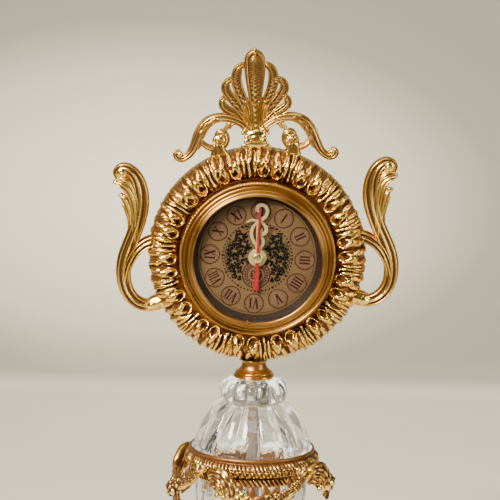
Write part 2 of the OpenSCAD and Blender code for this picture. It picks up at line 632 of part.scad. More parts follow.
// Red sweep hand with a broad tail and a domed brass boss
module second_hand() in_head() rotate([0, 0, -dial_turn + 0.6]) translate([0, 0, second_hand_z]) {
    color([0.66, 0.07, 0.06]) linear_extrude(hand_t) difference() {
        polygon([[-2, -21.6], [2, -21.6], [1, -4], [0.9, 10], [0.7, 33.6], [-0.7, 33.6], [-0.9, 10], [-1, -4]]);
        circle(r = 0.65);
    }
    color(brass) difference() {
        translate([0, 0, hand_t]) intersection() {
            cylinder(r = 3.3, h = 1.2);
            translate([0, 0, -4.1]) sphere(r = 5.3);
        }
        translate([0, 0, -1]) cylinder(r = 0.65, h = 2.1);
    }
}

// Knurled knob on the back; its inner pinion meshes with the motion wheel
module setting_knob() color(black) in_head() translate(concat(knob_at, 0)) {
    gear(cannon_teeth, motion_m, mesh_phase(knob_dir, motion_teeth, motion_phase, cannon_teeth), 0.7, 1);
    arbor(1.5, -13, 0.8);
    translate([0, 0, -17]) linear_extrude(4) polygon([for (i = [0 : 71]) (i % 3 ? 5.2 : 4.7) * [cos(5 * i), sin(5 * i)]]);
}

// Cell that lifts out of the movement's bay, with its button towards +x
module battery() in_head() translate([0, battery_y, battery_z]) rotate([0, 90, 0]) {
    color([0.25, 0.30, 0.36]) translate([0, 0, -25]) cylinder(r = 7.1, h = 49.4);
    color(steel) translate([0, 0, 24.3]) cylinder(r = 2.7, h = 1.2);
}

felt_pad();
base_plinth();
base_leaf_band();
rod_nuts();
rod_washer();
stem();
calyx();
lower_crystal();
glass_washers();
garland_ring();
garland_front();
garland_right();
garland_back();
garland_left();
upper_crystal();
tie_rod();
neck_collar();
wreath();
crest();
crest_screws();
handle_right();
handle_left();
handle_screws();
back_plate();
back_plate_screws();
bezel();
lens();
rehaut_ring();
dial();
insert_can();
insert_gasket();
movement_front_case();
movement_rear_case();
centre_bushing();
bushing_nut();
train_bridge();
circuit_board();
quartz_can();
coil();
stator();
positive_contact();
negative_contact();
rotor();
intermediate_wheel();
second_wheel();
second_hand();
third_wheel();
centre_wheel();
minute_hand();
motion_wheel();
hour_wheel();
hour_hand();
setting_knob();
battery();
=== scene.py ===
"""Looks for the brass and crystal mantel clock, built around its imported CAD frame."""

import math
import random

import bpy
import numpy as np
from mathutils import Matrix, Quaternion, Vector


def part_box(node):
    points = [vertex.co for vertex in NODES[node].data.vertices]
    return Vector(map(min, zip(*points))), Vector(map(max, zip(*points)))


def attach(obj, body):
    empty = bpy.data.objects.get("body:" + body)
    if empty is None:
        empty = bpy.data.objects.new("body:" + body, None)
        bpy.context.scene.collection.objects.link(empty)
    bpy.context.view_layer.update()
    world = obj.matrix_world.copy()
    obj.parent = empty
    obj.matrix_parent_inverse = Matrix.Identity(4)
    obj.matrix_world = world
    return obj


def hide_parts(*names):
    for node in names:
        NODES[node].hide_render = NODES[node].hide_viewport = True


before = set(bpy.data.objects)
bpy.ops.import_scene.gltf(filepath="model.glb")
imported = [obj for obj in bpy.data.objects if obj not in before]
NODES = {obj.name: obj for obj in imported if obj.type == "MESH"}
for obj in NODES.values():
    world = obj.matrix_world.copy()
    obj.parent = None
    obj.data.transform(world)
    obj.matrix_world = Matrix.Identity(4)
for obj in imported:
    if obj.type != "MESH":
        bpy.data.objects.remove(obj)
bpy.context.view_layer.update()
MM = 0.001
TAU = 2 * math.pi


def span(node):
    """A node's corners in millimetres."""
    low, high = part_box(node)
    return np.array(low) / MM, np.array(high) / MM


WREATH_LOW, WREATH_HIGH = span("wreath")
HEAD_Z = (WREATH_LOW[2] + WREATH_HIGH[2]) / 2
WREATH_R = (WREATH_HIGH[0] - WREATH_LOW[0]) / 2
DIAL_TOP = -span("dial")[0][1]
ROD_HOLE_R = 3.1
FLUTES = 14
FLUTE_PHASE = math.radians(-90 + 7.5)
# degrees by which these pieces of the real clock are twisted
HANDLE_TURN = 2.6
DIAL_TURN = 2.0
CREST_TURN = 2.2
GARLAND_TURN = 7

# ---------- placing ----------


def head(p):
    """Millimetres about the dial's centre, z towards the viewer, into the frame in metres."""
    p = np.asarray(p, float)
    return np.stack([p[..., 0], -p[..., 2], p[..., 1] + HEAD_Z], -1) * MM


def stand(p):
    """Millimetres along the frame's own axes, into metres."""
    return np.asarray(p, float) * MM


def turned(place, degrees, mirror=False):
    """The same placing after a turn about z, counter-clockwise, and a flip of x before it."""
    c, s = math.cos(math.radians(degrees)), math.sin(math.radians(degrees))

    def to(p):
        p = np.array(p, float)
        if mirror:
            p[..., 0] *= -1
        x, y = p[..., 0].copy(), p[..., 1].copy()
        p[..., 0], p[..., 1] = c * x - s * y, s * x + c * y
        return place(p)

    to.mirror = mirror
    return to


def moved(place, dx, dy):
    """The same placing after a shift in its x and y."""

    def to(p):
        return place(np.asarray(p, float) + (dx, dy, 0.0))

    to.mirror = getattr(place, "mirror", False)
    return to


# ---------- meshes ----------


class Mesh:
    """Points and faces of one piece, gathered part by part."""

    def __init__(self):
        self.v, self.f, self.m, self.count = [], [], [], 0

    def add(self, verts, faces, mat=0, flip=False):
        faces = np.asarray(faces, int)
        if flip:
            faces = faces[:, ::-1]
        self.v.append(np.asarray(verts, float).reshape(-1, 3))
        self.f += (faces + self.count).tolist()
        self.m += [mat] * len(faces)
        self.count += len(self.v[-1])

    def grid(self, points, u=False, v=True, place=head, mat=0, flip=False):
        """A sheet of quads through an array of points; u and v say which ways it closes on itself."""
        nu, nv = points.shape[:2]
        i = np.arange(nu if u else nu - 1)[:, None]
        j = np.arange(nv if v else nv - 1)[None, :]
        next_i, next_j = (i + 1) % nu, (j + 1) % nv
        corners = [i * nv + j, next_i * nv + j, next_i * nv + next_j, i * nv + next_j]
        quads = np.stack(corners, -1).reshape(-1, 4)
        self.add(place(points), quads, mat, flip != getattr(place, "mirror", False))

    def link(self, name, materials):
        """Makes the smooth-shaded object."""
        me = bpy.data.meshes.new(name)
        me.from_pydata(np.concatenate(self.v).tolist(), [], self.f)
        ob = bpy.data.objects.new(name, me)
        bpy.context.collection.objects.link(ob)
        for m in materials:
            me.materials.append(m)
        me.polygons.foreach_set("material_index", self.m)
        me.polygons.foreach_set("use_smooth", [True] * len(me.polygons))
        me.update()
        return ob

    def object(self, name, body, materials, replaces, hollows=None):
        """Makes the piece: it rides on body and is shown in place of the CAD nodes in replaces."""
        ob = self.link(name, materials if isinstance(materials, list) else [materials])
        if hollows:
            mark_hollows(ob.data, *hollows)
        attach(ob, body)
        if replaces:
            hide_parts(*replaces)


def mark_hollows(me, rounds, depth):
    """Writes how far each point lies in a hollow, about +1, or on a ridge, about -1, for the patina, the
    painted shade in hollows and the painted highlight on ridges.
    """
    n = len(me.vertices)
    points, normals = np.empty(n * 3), np.empty(n * 3)
    me.vertices.foreach_get("co", points)
    me.vertices.foreach_get("normal", normals)
    points, normals = points.reshape(-1, 3), normals.reshape(-1, 3)
    edges = np.empty(len(me.edges) * 2, int)
    me.edges.foreach_get("vertices", edges)
    a, b = edges.reshape(-1, 2).T
    degree = np.maximum(np.bincount(a, minlength=n) + np.bincount(b, minlength=n), 1)
    smooth = points.copy()
    for _ in range(rounds):
        near = [np.bincount(a, smooth[b, k], n) + np.bincount(b, smooth[a, k], n) for k in range(3)]
        smooth = (smooth + np.stack(near, 1) / degree[:, None]) / 2
    hollow = np.clip(((smooth - points) * normals).sum(1) / (depth * MM), -1.5, 1.5)
    me.attributes.new("hollow", "FLOAT", "POINT").data.foreach_set("value", hollow)


def curve(points, n):
    """A smooth curve through points, with n steps between each pair."""
    p = np.asarray(points, float)
    q = np.vstack([2 * p[0] - p[1], p, 2 * p[-1] - p[-2]])
    t = np.linspace(0, 1, n, endpoint=False)[:, None]
    out = []
    for i in range(len(p) - 1):
        a, b, c, d = q[i : i + 4]
        bend, twist = 2 * a - 5 * b + 4 * c - d, 3 * b - a - 3 * c + d
        out.append(0.5 * (2 * b + (c - a) * t + bend * t**2 + twist * t**3))
    return np.vstack(out + [p[-1:]])


def unit(v):
    return v / np.maximum(np.linalg.norm(v, axis=-1, keepdims=True), 1e-9)


def soft(x, low, high):
    """0 below low, 1 above high, smooth between."""
    t = np.clip((x - low) / (high - low), 0, 1)
    return t * t * (3 - 2 * t)


def hump(x, width):
    """A bell of height 1 about x = 0."""
    return np.exp(-((x / width) ** 2))


def dome(x):
    """Half a circle between -1 and 1, and 0 outside."""
    return np.sqrt(np.clip(1 - x**2, 0, 1))


def between(x, a, b, c, d):
    """1 from b to c, 0 below a and above d, smooth between."""
    return soft(x, a, b) * (1 - soft(x, c, d))


def strip(mesh, centre, side, width, depth, relief=None, around=36, square=2.4, place=head):
    """A closed band along centre: width across side, depth along the front.

    relief(u, s, w) is raised on the front: u runs across from -1 to 1, s is the length walked and
    w the width there. square shapes the section, 2 being an oval.
    """
    centre, side = np.asarray(centre, float), unit(np.asarray(side, float))
    n = len(centre)
    width, depth = (np.broadcast_to(x, n).astype(float) for x in (width, depth))
    along = unit(np.gradient(centre, axis=0))
    length = np.concatenate([[0], np.cumsum(np.linalg.norm(np.diff(centre, axis=0), axis=1))])
    rings = [(centre, along, side, width, depth, length)]
    bends = np.radians([88, 66, 44, 22])
    for end, sign in ((0, -1), (-1, 1)):
        size = np.sin(bends) * min(width[end], depth[end]) / 2
        cap = (
            centre[end] + sign * size[:, None] * along[end],
            np.repeat(along[end][None], 4, 0), np.repeat(side[end][None], 4, 0),
            width[end] * np.cos(bends), depth[end] * np.cos(bends), length[end] + sign * size,
        )
        rings = [cap] + rings if end == 0 else rings + [tuple(x[::-1] for x in cap)]
    centre, along, side, width, depth, length = (np.concatenate(x) for x in zip(*rings))
    front = unit(np.cross(along, side))
    phi = np.linspace(0, TAU, around, endpoint=False)
    c, s = np.cos(phi), np.sin(phi)
    c, s = np.sign(c) * abs(c) ** (2 / square), np.sign(s) * abs(s) ** (2 / square)
    rise = depth[:, None] / 2 * s
    if relief is not None:
        rise = rise + relief(c[None, :], length[:, None], width[:, None]) * np.clip(s, 0, 1) ** 0.5
    across = side[:, None] * (width[:, None, None] / 2 * c[None, :, None])
    points = centre[:, None] + across + front[:, None] * rise[..., None]
    mesh.grid(points, place=place, flip=True)


def band(mesh, path, depth, relief=None, steps=8, z=0.0, place=head, around=36, square=2.4):
    """A strip in the plane of the head along [x, y, width] points."""
    p = curve(path, steps)
    centre = np.column_stack([p[:, :2], np.full(len(p), z)])
    t = unit(np.gradient(p[:, :2], axis=0))
    side = np.column_stack([-t[:, 1], t[:, 0], np.zeros(len(p))])
    width = np.maximum(p[:, 2], 0.4)
    strip(mesh, centre, side, width, np.minimum(depth, width * 1.25), relief, around, square, place)


def ball(mesh, centre, size, place, rows=12, around=20, dent=0.0):
    """An oval bead; dent presses a hollow into its front."""
    size = np.broadcast_to(size, 3)
    th = np.linspace(0.02, math.pi - 0.02, rows)[:, None]
    ph = np.linspace(0, TAU, around, endpoint=False)[None]
    r = 1 - dent * hump(th, 0.55)
    x, y, z = r * np.sin(th) * np.cos(ph), r * np.sin(th) * np.sin(ph), r * np.cos(th) + 0 * ph
    mesh.grid(np.stack([x, y, z], -1) * size + centre, place=place)


def in_frame(place, centre, normal, up, roll):
    """A placing with its origin at centre and z along normal, rolled about it."""
    z = unit(np.asarray(normal, float))
    x = unit(np.cross(up, z))
    basis = np.stack([x, np.cross(z, x), z])
    c, s = math.cos(roll), math.sin(roll)
    spin = np.array([[c, s, 0], [-s, c, 0], [0, 0, 1]])

    def to(p):
        return place(np.asarray(p, float) @ spin @ basis + centre)

    to.mirror = getattr(place, "mirror", False)
    return to


def rose(mesh, place, r, petals=5, tall=0.6, phase=0.0):
    """An open blossom: two rows of dented petals round a bead, as one raised sheet."""
    rho = np.linspace(0.001, 1, 18)[:, None]
    th = np.linspace(0, TAU, petals * 12, endpoint=False)[None]
    edge = 0.84 + 0.16 * abs(np.cos(petals * (th - phase) / 2)) ** 0.6
    x, y = rho * np.cos(th) * edge, rho * np.sin(th) * edge
    h = 0.28 * (1 - rho**2) + 0 * th
    for at, size, lift, turn in ((0.6, 0.40, 0.30, 0.0), (0.32, 0.27, 0.62, math.pi / petals)):
        for k in range(petals):
            a = phase + turn + k * TAU / petals
            dx, dy = x - at * math.cos(a), y - at * math.sin(a)
            along, across = dx * math.cos(a) + dy * math.sin(a), -dx * math.sin(a) + dy * math.cos(a)
            q = np.sqrt((along / size) ** 2 + (across / (size * 0.86)) ** 2)
            h = np.maximum(h, lift + 0.42 * dome(q) - 0.26 * hump(q, 0.5) - 9 * (q > 1))
    bead = np.sqrt(x**2 + y**2) / 0.17
    h = np.maximum(h, np.where(bead < 1, 0.95 + 0.3 * dome(bead), -9))
    h = h * tall * soft(1.02 - rho, 0, 0.12)
    back = np.stack([x * 0.9, y * 0.9, h * 0 - 0.35 * (1 - rho**2)], -1) * r
    mesh.grid(np.stack([x, y, h], -1) * r, place=place)
    mesh.grid(back, place=place, flip=True)


def leaf(mesh, place, length, width, ribs, notches, lift, curl, thick):
    """A notched leaf from the origin along y, ribbed on top; lift raises it and curl turns its tip over."""
    n = 30
    t = np.linspace(0, 1, n)
    slope = lift - curl * t**2
    step = length / (n - 1)
    y, z = (np.concatenate([[0], np.cumsum(x[:-1] * step)]) for x in (np.cos(slope), np.sin(slope)))
    centre = np.stack([0 * t, y, z], -1)
    side = np.stack([np.ones(n), 0 * t, 0 * t], -1)
    outline = np.sin(math.pi * np.clip(0.12 + 0.84 * t, 0, 1)) ** 0.55 * (1 - 0.2 * t)
    wide = width * np.maximum(outline, 0.3) * (1 - 0.16 * abs(np.sin(math.pi * notches * t)) ** 3)
    thickness = thick * width * (1 - 0.4 * t) + 0.4

    def ribbed(u, s, w):
        fan = u * ribs * math.pi / 2 * (1 + 0 * s)
        return 0.07 * width * (np.cos(fan * 2) - 0.2) + 0.10 * width * hump(u, 0.12)

    strip(mesh, centre, side, wide, thickness, ribbed, 44, 2.0, place)


# ---------- materials ----------


class Paint:
    """A material under construction, with its Principled shader and short ways to add nodes."""

    def __init__(self, name, color=(0.8, 0.8, 0.8), **values):
        self.mat = bpy.data.materials.new(name)
        self.mat.use_nodes = True
        self.tree = self.mat.node_tree
        self.shader = self.tree.nodes["Principled BSDF"]
        self.set(Base_Color=(*color, 1), **values)
        self.space = self.node("ShaderNodeTexCoord").outputs["Object"]

    def feed(self, socket, value):
        """Links another node's output to a socket, or writes a plain value there."""
        if isinstance(value, bpy.types.NodeSocket):
            self.tree.links.new(value, socket)
        else:
            socket.default_value = value

    def set(self, **values):
        for key, value in values.items():
            self.feed(self.shader.inputs[key.replace("_", " ")], value)

    def node(self, kind, inputs=(), **settings):
        n = self.tree.nodes.new(kind)
        for key, value in settings.items():
            setattr(n, key, value)
        for key, value in dict(inputs).items():
            self.feed(n.inputs[key], value)
        return n

    def noise(self, scale, detail=4.0, rough=0.55, stretch=None):
        space = self.space
        if stretch:
            space = self.node("ShaderNodeMapping", {"Vector": space, "Scale": stretch}).outputs[0]
        inputs = {"Vector": space, "Scale": scale, "Detail": detail, "Roughness": rough}
        return self.node("ShaderNodeTexNoise", inputs).outputs[0]

    def ramp(self, value, *stops):
        n = self.node("ShaderNodeValToRGB", {0: value})
        ramp = n.color_ramp
        while len(ramp.elements) < len(stops):
            ramp.elements.new(1.0)
        for element, (at, color) in zip(ramp.elements, stops):
            element.position = at
            element.color = (*color, 1) if isinstance(color, tuple) else (color, color, color, 1)
        return n.outputs[0]

    def math(self, kind, a, b=0.0, c=0.0):
        return self.node("ShaderNodeMath", {0: a, 1: b, 2: c}, operation=kind).outputs[0]

    def blend(self, fine, share, broad):
        """That share of a fine pattern and the rest of a broad one."""
        return self.math("MULTIPLY_ADD", fine, share, self.math("MULTIPLY", broad, 1 - share))

    def mix(self, factor, a, b):
        n = self.node("ShaderNodeMix", data_type="RGBA")
        for key, value in ((0, factor), (6, a), (7, b)):
            self.feed(n.inputs[key], (*value, 1) if isinstance(value, tuple) else value)
        return n.outputs[2]

    def bump(self, height, strength=0.3, distance=0.0003):
        n = self.node("ShaderNodeBump", {"Height": height, "Strength": strength, "Distance": distance})
        self.set(Normal=n.outputs[0])

    def attribute(self, name):
        return self.node("ShaderNodeAttribute", attribute_name=name).outputs["Fac"]

    def surface(self, factor, other):
        """Shows the other shader in place of the main one where factor is 1."""
        both = self.node("ShaderNodeMixShader", {0: factor, 1: self.shader.outputs[0], 2: other})
        self.tree.links.new(both.outputs[0], self.tree.nodes["Material Output"].inputs["Surface"])

    def clear_shadow(self, share):
        """Lets lamps shine through: glass bends what is seen through it, and its shadow is pale."""
        ghost = self.node("ShaderNodeBsdfTransparent", {"Color": (share, share, share, 1)})
        self.surface(self.node("ShaderNodeLightPath").outputs["Is Shadow Ray"], ghost.outputs[0])


def cast_brass(name, polish=0.0, dark=1.0, age=0.0):
    """Gilt cast brass: rubbed bright on ridges, with a painted highlight there, and red-brown patina in the
    hollows, deepened towards black by painted shade.
    """
    m = Paint(name, Metallic=1.0)
    hollow = m.attribute("hollow")
    patch = m.noise(160, 4, 0.6)
    grime = m.noise(900, 5, 0.65)
    # painted shade and highlight: hollows darken towards near black and ridges brighten, over the real patina
    # and wear
    level = m.math("MULTIPLY_ADD", hollow, 0.42 * dark, 0.46 + age - 0.05 * polish)
    level = m.math("ADD", level, m.math("MULTIPLY_ADD", patch, 0.22, -0.11))
    level = m.math("ADD", level, m.math("MULTIPLY_ADD", grime, 0.26, -0.13))
    color = m.ramp(level, (0.0, (1.0, 0.75, 0.22)), (0.22, (0.90, 0.57, 0.115)), (0.42, (0.55, 0.28, 0.056)),
                   (0.60, (0.235, 0.096, 0.022)), (0.84, (0.050, 0.016, 0.006)))
    rough = m.ramp(level, (0.0, 0.17 - 0.05 * polish), (0.4, 0.27 - 0.05 * polish), (0.75, 0.5), (1.0, 0.7))
    m.set(Base_Color=color, Roughness=rough, Metallic=m.ramp(level, (0.45, 1.0), (0.85, 0.55)))
    m.bump(m.math("ADD", m.noise(1500, 3), m.math("MULTIPLY", m.noise(420, 3), 1.5)), 0.35, 0.00022)
    return m.mat


def turned_brass(name, tone=(0.80, 0.48, 0.15), rough=0.3):
    """Lathe-turned, lacquered brass with a very fine grain and faint cloudiness."""
    m = Paint(name, Metallic=1.0)
    cloud = m.noise(60, 3)
    fine = m.noise(2600, 2, 0.5)
    pale = tuple(min(1.0, c * 1.22) for c in tone)
    deep = tuple(c * 0.72 for c in tone)
    m.set(Base_Color=m.ramp(m.blend(fine, 0.3, cloud), (0.3, deep), (0.5, tone), (0.7, pale)))
    m.set(Roughness=m.math("MULTIPLY_ADD", cloud, 0.16, rough - 0.08), Coat_Weight=0.25, Coat_Roughness=0.12)
    m.bump(fine, 0.12, 0.00006)
    return m.mat


def plain(name, color, rough=0.4, metal=0.0, spread=0.12, scale=900, bump=0.15, height=0.00008, **more):
    """Paint, plastic or metal with slight mottling, varied gloss and a fine surface."""
    m = Paint(name, Metallic=metal, **more)
    grain = m.noise(scale, 3)
    cloud = m.noise(scale / 12, 3)
    dark, light = tuple(c * (1 - spread) for c in color), tuple(min(1, c * (1 + spread)) for c in color)
    m.set(Base_Color=m.mix(m.blend(grain, 0.5, cloud), dark, light))
    m.set(Roughness=m.math("MULTIPLY_ADD", cloud, 0.25, rough - 0.12))
    m.bump(grain, bump, height)
    return m.mat


BRASS = cast_brass("cast_brass", 0.0, 1.1, 0.02)
OLD_BRASS = cast_brass("old_brass", 0.0, 1.25, 0.10)
RING_BRASS = cast_brass("ring_brass", 0.6, 2.6, 0.22)
GARLAND_BRASS = cast_brass("garland_brass", 0.0, 1.6, 0.33)
NECK_BRASS = cast_brass("neck_brass", 1.8, 2.4, 0.20)
BEZEL = turned_brass("bezel_brass", (0.38, 0.18, 0.036), 0.30)
GEAR_BRASS = turned_brass("gear_brass", (0.86, 0.62, 0.26), 0.26)
PLATE_BRASS = turned_brass("plate_brass", (0.70, 0.42, 0.13), 0.34)
STEEL = plain("zinc_steel", (0.62, 0.62, 0.63), 0.32, 1.0, 0.08)
BRONZE = plain("brown_bronze", (0.105, 0.078, 0.056), 0.6, 0.2, 0.3, 300)
MAGNET = plain("magnet", (0.10, 0.10, 0.105), 0.4, 0.8)
BLACK = plain("black_plastic", (0.022, 0.022, 0.024), 0.45, 0.0, 0.2, 2600, 0.5, 0.00012)
WHITE = plain("white_acetal", (0.78, 0.77, 0.72), 0.4)
RUBBER = plain("rubber", (0.03, 0.03, 0.03), 0.7, 0.0, 0.25, 1800, 0.4)
COPPER = plain("copper_winding", (0.62, 0.24, 0.08), 0.3, 1.0, 0.2)
BOARD = plain("circuit_board", (0.02, 0.16, 0.07), 0.3, 0.0, 0.2)
# painted shade: near-black colour standing in for the shade inside the bezel's rim
SHADE_PAINTED_WALL = plain("shade_painted_wall", (0.012, 0.0065, 0.0032), 0.6, 0.0, 0.3, 700, Specular_IOR_Level=0.1)
FELT = plain("felt", (0.05, 0.10, 0.06), 0.95, 0.0, 0.35, 3000, 0.9, 0.0004)
CREAM = plain("cream_paint", (0.30, 0.235, 0.10), 0.34, 0.2, 0.08, 1500)
RED = plain("red_paint", (0.17, 0.0015, 0.0015), 0.32, 0.0, 0.1, 1500)
INK = plain("black_ink", (0.003, 0.003, 0.0022), 0.6, 0.0, 0.2, Specular_IOR_Level=0.06)
MAROON = plain("maroon_ink", (0.012, 0.0022, 0.0022), 0.6, 0.0, 0.2, Specular_IOR_Level=0.06)
RUSSET = plain("russet_ink", (0.055, 0.010, 0.006), 0.6, 0.0, 0.2, Specular_IOR_Level=0.1)
TAN = plain("tan_cartouche", (0.088, 0.046, 0.022), 0.5, 0.1, 0.12, 500, Specular_IOR_Level=0.2)
PUTTY = plain("seat_putty", (0.74, 0.73, 0.70), 0.6, 0.0, 0.25, 420, 0.5, 0.0003)
WASHER = plain("soft_washer", (0.75, 0.75, 0.70), 0.35, 0.0, 0.05)


def dial_plate():
    """Champagne-gold printed plate, faintly cloudy, with a fine rolled grain."""
    m = Paint("dial_plate", Metallic=0.3, Specular_IOR_Level=0.25)
    grain = m.noise(1400, 3, 0.6, (1, 1, 0.12))
    cloud = m.noise(38, 3)
    m.set(Base_Color=m.mix(m.blend(grain, 0.35, cloud), (0.068, 0.040, 0.0150), (0.114, 0.068, 0.0255)))
    m.set(Roughness=m.math("MULTIPLY_ADD", cloud, 0.2, 0.28))
    m.bump(grain, 0.1, 0.00005)
    return m.mat


def crystal(name, tint=(0.97, 0.98, 0.985), ior=1.5, foot=(0.0, 0.001)):
    """Clear glass; between the two foot heights its surface goes from crumpled to smooth."""
    m = Paint(name, tint, Transmission_Weight=1.0, IOR=ior, Roughness=0.0)
    height = m.node("ShaderNodeSeparateXYZ", {0: m.space}).outputs[2]
    crumple = m.ramp(height, (foot[0], 1.0), (foot[1], 0.0))
    wave = m.math("MULTIPLY_ADD", m.math("MULTIPLY", crumple, m.noise(300, 2)), 26.0, m.noise(120, 2))
    m.bump(wave, 0.07, 0.0002)
    m.clear_shadow(0.94)
    return m.mat


CRYSTAL = crystal("lead_crystal", foot=(0.168, 0.177))
LENS = crystal("window_glass", (0.96, 0.95, 0.92), ior=1.12)
DIAL = dial_plate()


def cell_paint():
    """Printed sleeve of a plain AA cell: dark body with a copper band at its button end."""
    m = Paint("cell_sleeve", Metallic=0.3, Roughness=0.3)
    x = m.node("ShaderNodeSeparateXYZ", {0: m.space}).outputs[0]
    along = m.math("MULTIPLY_ADD", x, 18.0, 0.5)
    band_at = m.ramp(along, (0.70, 0.0), (0.71, 1.0))
    end = m.ramp(along, (0.940, 0.0), (0.943, 1.0))
    body = m.mix(m.noise(300, 3), (0.016, 0.022, 0.035), (0.03, 0.036, 0.05))
    m.set(Base_Color=m.mix(end, m.mix(band_at, body, (0.60, 0.26, 0.07)), (0.62, 0.62, 0.62)))
    m.bump(m.noise(900, 2), 0.06, 0.00005)
    return m.mat


def dress(material, *nodes):
    """Gives CAD nodes that are shown as they are their material."""
    for name in nodes:
        ob = NODES[name]
        ob.data.materials.clear()
        ob.data.materials.append(material)


dress(FELT, "felt_pad")
dress(STEEL, "rod_nuts", "rod_washer", "crest_screws", "handle_screws", "back_plate_screws", "quartz_can",
      "stator",
      "positive_contact", "negative_contact")
dress(BRONZE, "tie_rod")
dress(WASHER, "glass_washers")
dress(PLATE_BRASS, "back_plate")
# the rehaut ring is given the painted shade
dress(SHADE_PAINTED_WALL, "rehaut_ring")
dress(BLACK, "insert_can", "movement_front_case", "movement_rear_case", "setting_knob")
dress(RUBBER, "insert_gasket")
dress(GEAR_BRASS, "centre_bushing", "bushing_nut", "second_wheel", "third_wheel", "centre_wheel",
      "motion_wheel", "hour_wheel")
dress(WHITE, "train_bridge", "intermediate_wheel")
dress(BOARD, "circuit_board")
dress(COPPER, "coil")
dress(MAGNET, "rotor")
dress(cell_paint(), "battery")
dress(LENS, "lens")
dress(DIAL, "dial")

# ---------- revolved pieces with relief ----------


def hoop(a, r, z):
    """Points round the axis at the angles a; r and z are numbers or arrays."""
    return np.stack([r * np.cos(a), r * np.sin(a), z + 0 * a], -1)


def lathe(p, a, rise):
    """An [r, z] profile, from the bottom outside to the top inside, turned and moved out by rise."""
    t = unit(np.gradient(p, axis=0))
    return hoop(a, p[:, :1] + t[:, 1:] * rise, p[:, 1:] - t[:, :1] * rise)


def revolve(name, profile, node, around, relief=None, material=BRASS, steps=6):
    """A cast piece turned about the stand's axis; relief(a, r, z) moves each point out."""
    p = curve(profile, steps)
    a = np.linspace(0, TAU, around, endpoint=False)[None]
    rise = relief(a, p[:, :1], p[:, 1:]) if relief else 0 * a
    mesh = Mesh()
    mesh.grid(lathe(p, a, rise), place=stand, flip=True)
    mesh.object(name, "stand", material, (node,), (12, 0.45))


def lobes(a, count, phase=0.0):
    """-1 to 1 across each of count lobes."""
    x = (a - phase) * count / TAU
    return 2 * (x - np.floor(x)) - 1


def plinth():
    """Turned base: a round edge, a slope of tongues, a step, and gadroons up to the collar."""
    edge, top = (span("base_plinth")[1][k] for k in (0, 2))

    def relief(a, r, z):
        gadroon = (1.1 * dome(lobes(a, 40)) - 0.8) * between(z, 26.2, 28, 33, 34.4) * (r < 37.4)
        return gadroon + (0.6 * hump(lobes(a, 72), 0.45) - 0.3) * between(z, 10.8, 11.6, 17.0, 17.9)

    foot = [(edge - d, z) for d, z in (
        (30, 1.5), (14, 1.5), (6, 1.5), (3, 1.5), (1.6, 1.5), (1.2, 1.5), (1, 1.6), (0.1, 3), (0, 4.2),
        (0, 8), (0.1, 9), (1.2, 10.4), (2.9, 11), (4.6, 11.4), (7.2, 13.2), (9.2, 15.6), (10, 17.9),
        (10.6, 18), (14, 18),
    )]
    step = [
        (38.2, 18), (38, 18.2), (38, 22), (38, 26), (35.6, 28.6), (31.4, 30.8), (26, 32.8), (22, 34),
        (20.6, 34.4), (20.5, top), (19, top), (ROD_HOLE_R, top),
    ]
    revolve("plinth", [(ROD_HOLE_R, 1.5)] + foot + step, "base_plinth", 480, relief, steps=5)


def leaf_tips(a, z, count, low, high, height):
    """Two rows of leaf tips lying over each other, pointing down to low."""
    v = (z - low) / (high - low)
    out = 0
    for start, turn, share in ((0.0, 0.0, 1.0), (0.52, 0.5, 0.8)):
        u = lobes(a, count, turn * TAU / count)
        w = v - start
        edge = soft(w - abs(u) ** 1.5 * 0.374, -0.02, 0.07)
        body = edge * (1 - 0.9 * np.clip(w, 0, 1)) * (0.75 + 0.35 * hump(u, 0.16) - 0.25 * hump(abs(u) - 0.4,
            0.16))
        out = np.maximum(out, body * share)
    return out * height


def leaf_band():
    """Rounded band of leaves on the base."""
    low, high = span("base_leaf_band")
    edge, middle, half, bulge = high[0], (low[2] + high[2]) / 2, (high[2] - low[2]) / 2, 4.4

    def relief(a, r, z):
        return (leaf_tips(a, z, 44, middle - half, middle + half, 1.5) - 1.0) * (r > 40)

    profile = [(38.1, low[2]), (40, low[2])]
    for bend in np.radians(range(-75, 76, 15)):
        profile.append((edge - bulge + bulge * math.cos(bend), middle + half * math.sin(bend)))
    profile += [(40, high[2]), (38.1, high[2])]
    revolve("leaf_band", profile, "base_leaf_band", 704, relief)


def stem():
    """Stem with a gadrooned knop above its beaded foot."""

    def relief(a, r, z):
        knop = (1.5 * dome(lobes(a, 16)) - 1.2) * soft(r, 9.4, 12) * (z > 42) * (z < 54)
        return knop + 0.25 * np.cos(a * 48) * hump(z - 37.2, 1.0)

    revolve("stem", [
        (ROD_HOLE_R, 36), (17, 36), (17.5, 37.4), (16, 39), (12.5, 40), (9.6, 42), (9.7, 43.2), (11.6, 44.2),
        (13.6, 46.2), (14, 48), (13.6, 49.8), (11.6, 51.8), (9.6, 52.9), (9, 54), (9.4, 55), (11.2, 56.2),
        (11.6, 57.2), (11, 58), (ROD_HOLE_R, 58),
    ], "stem", 288, relief)


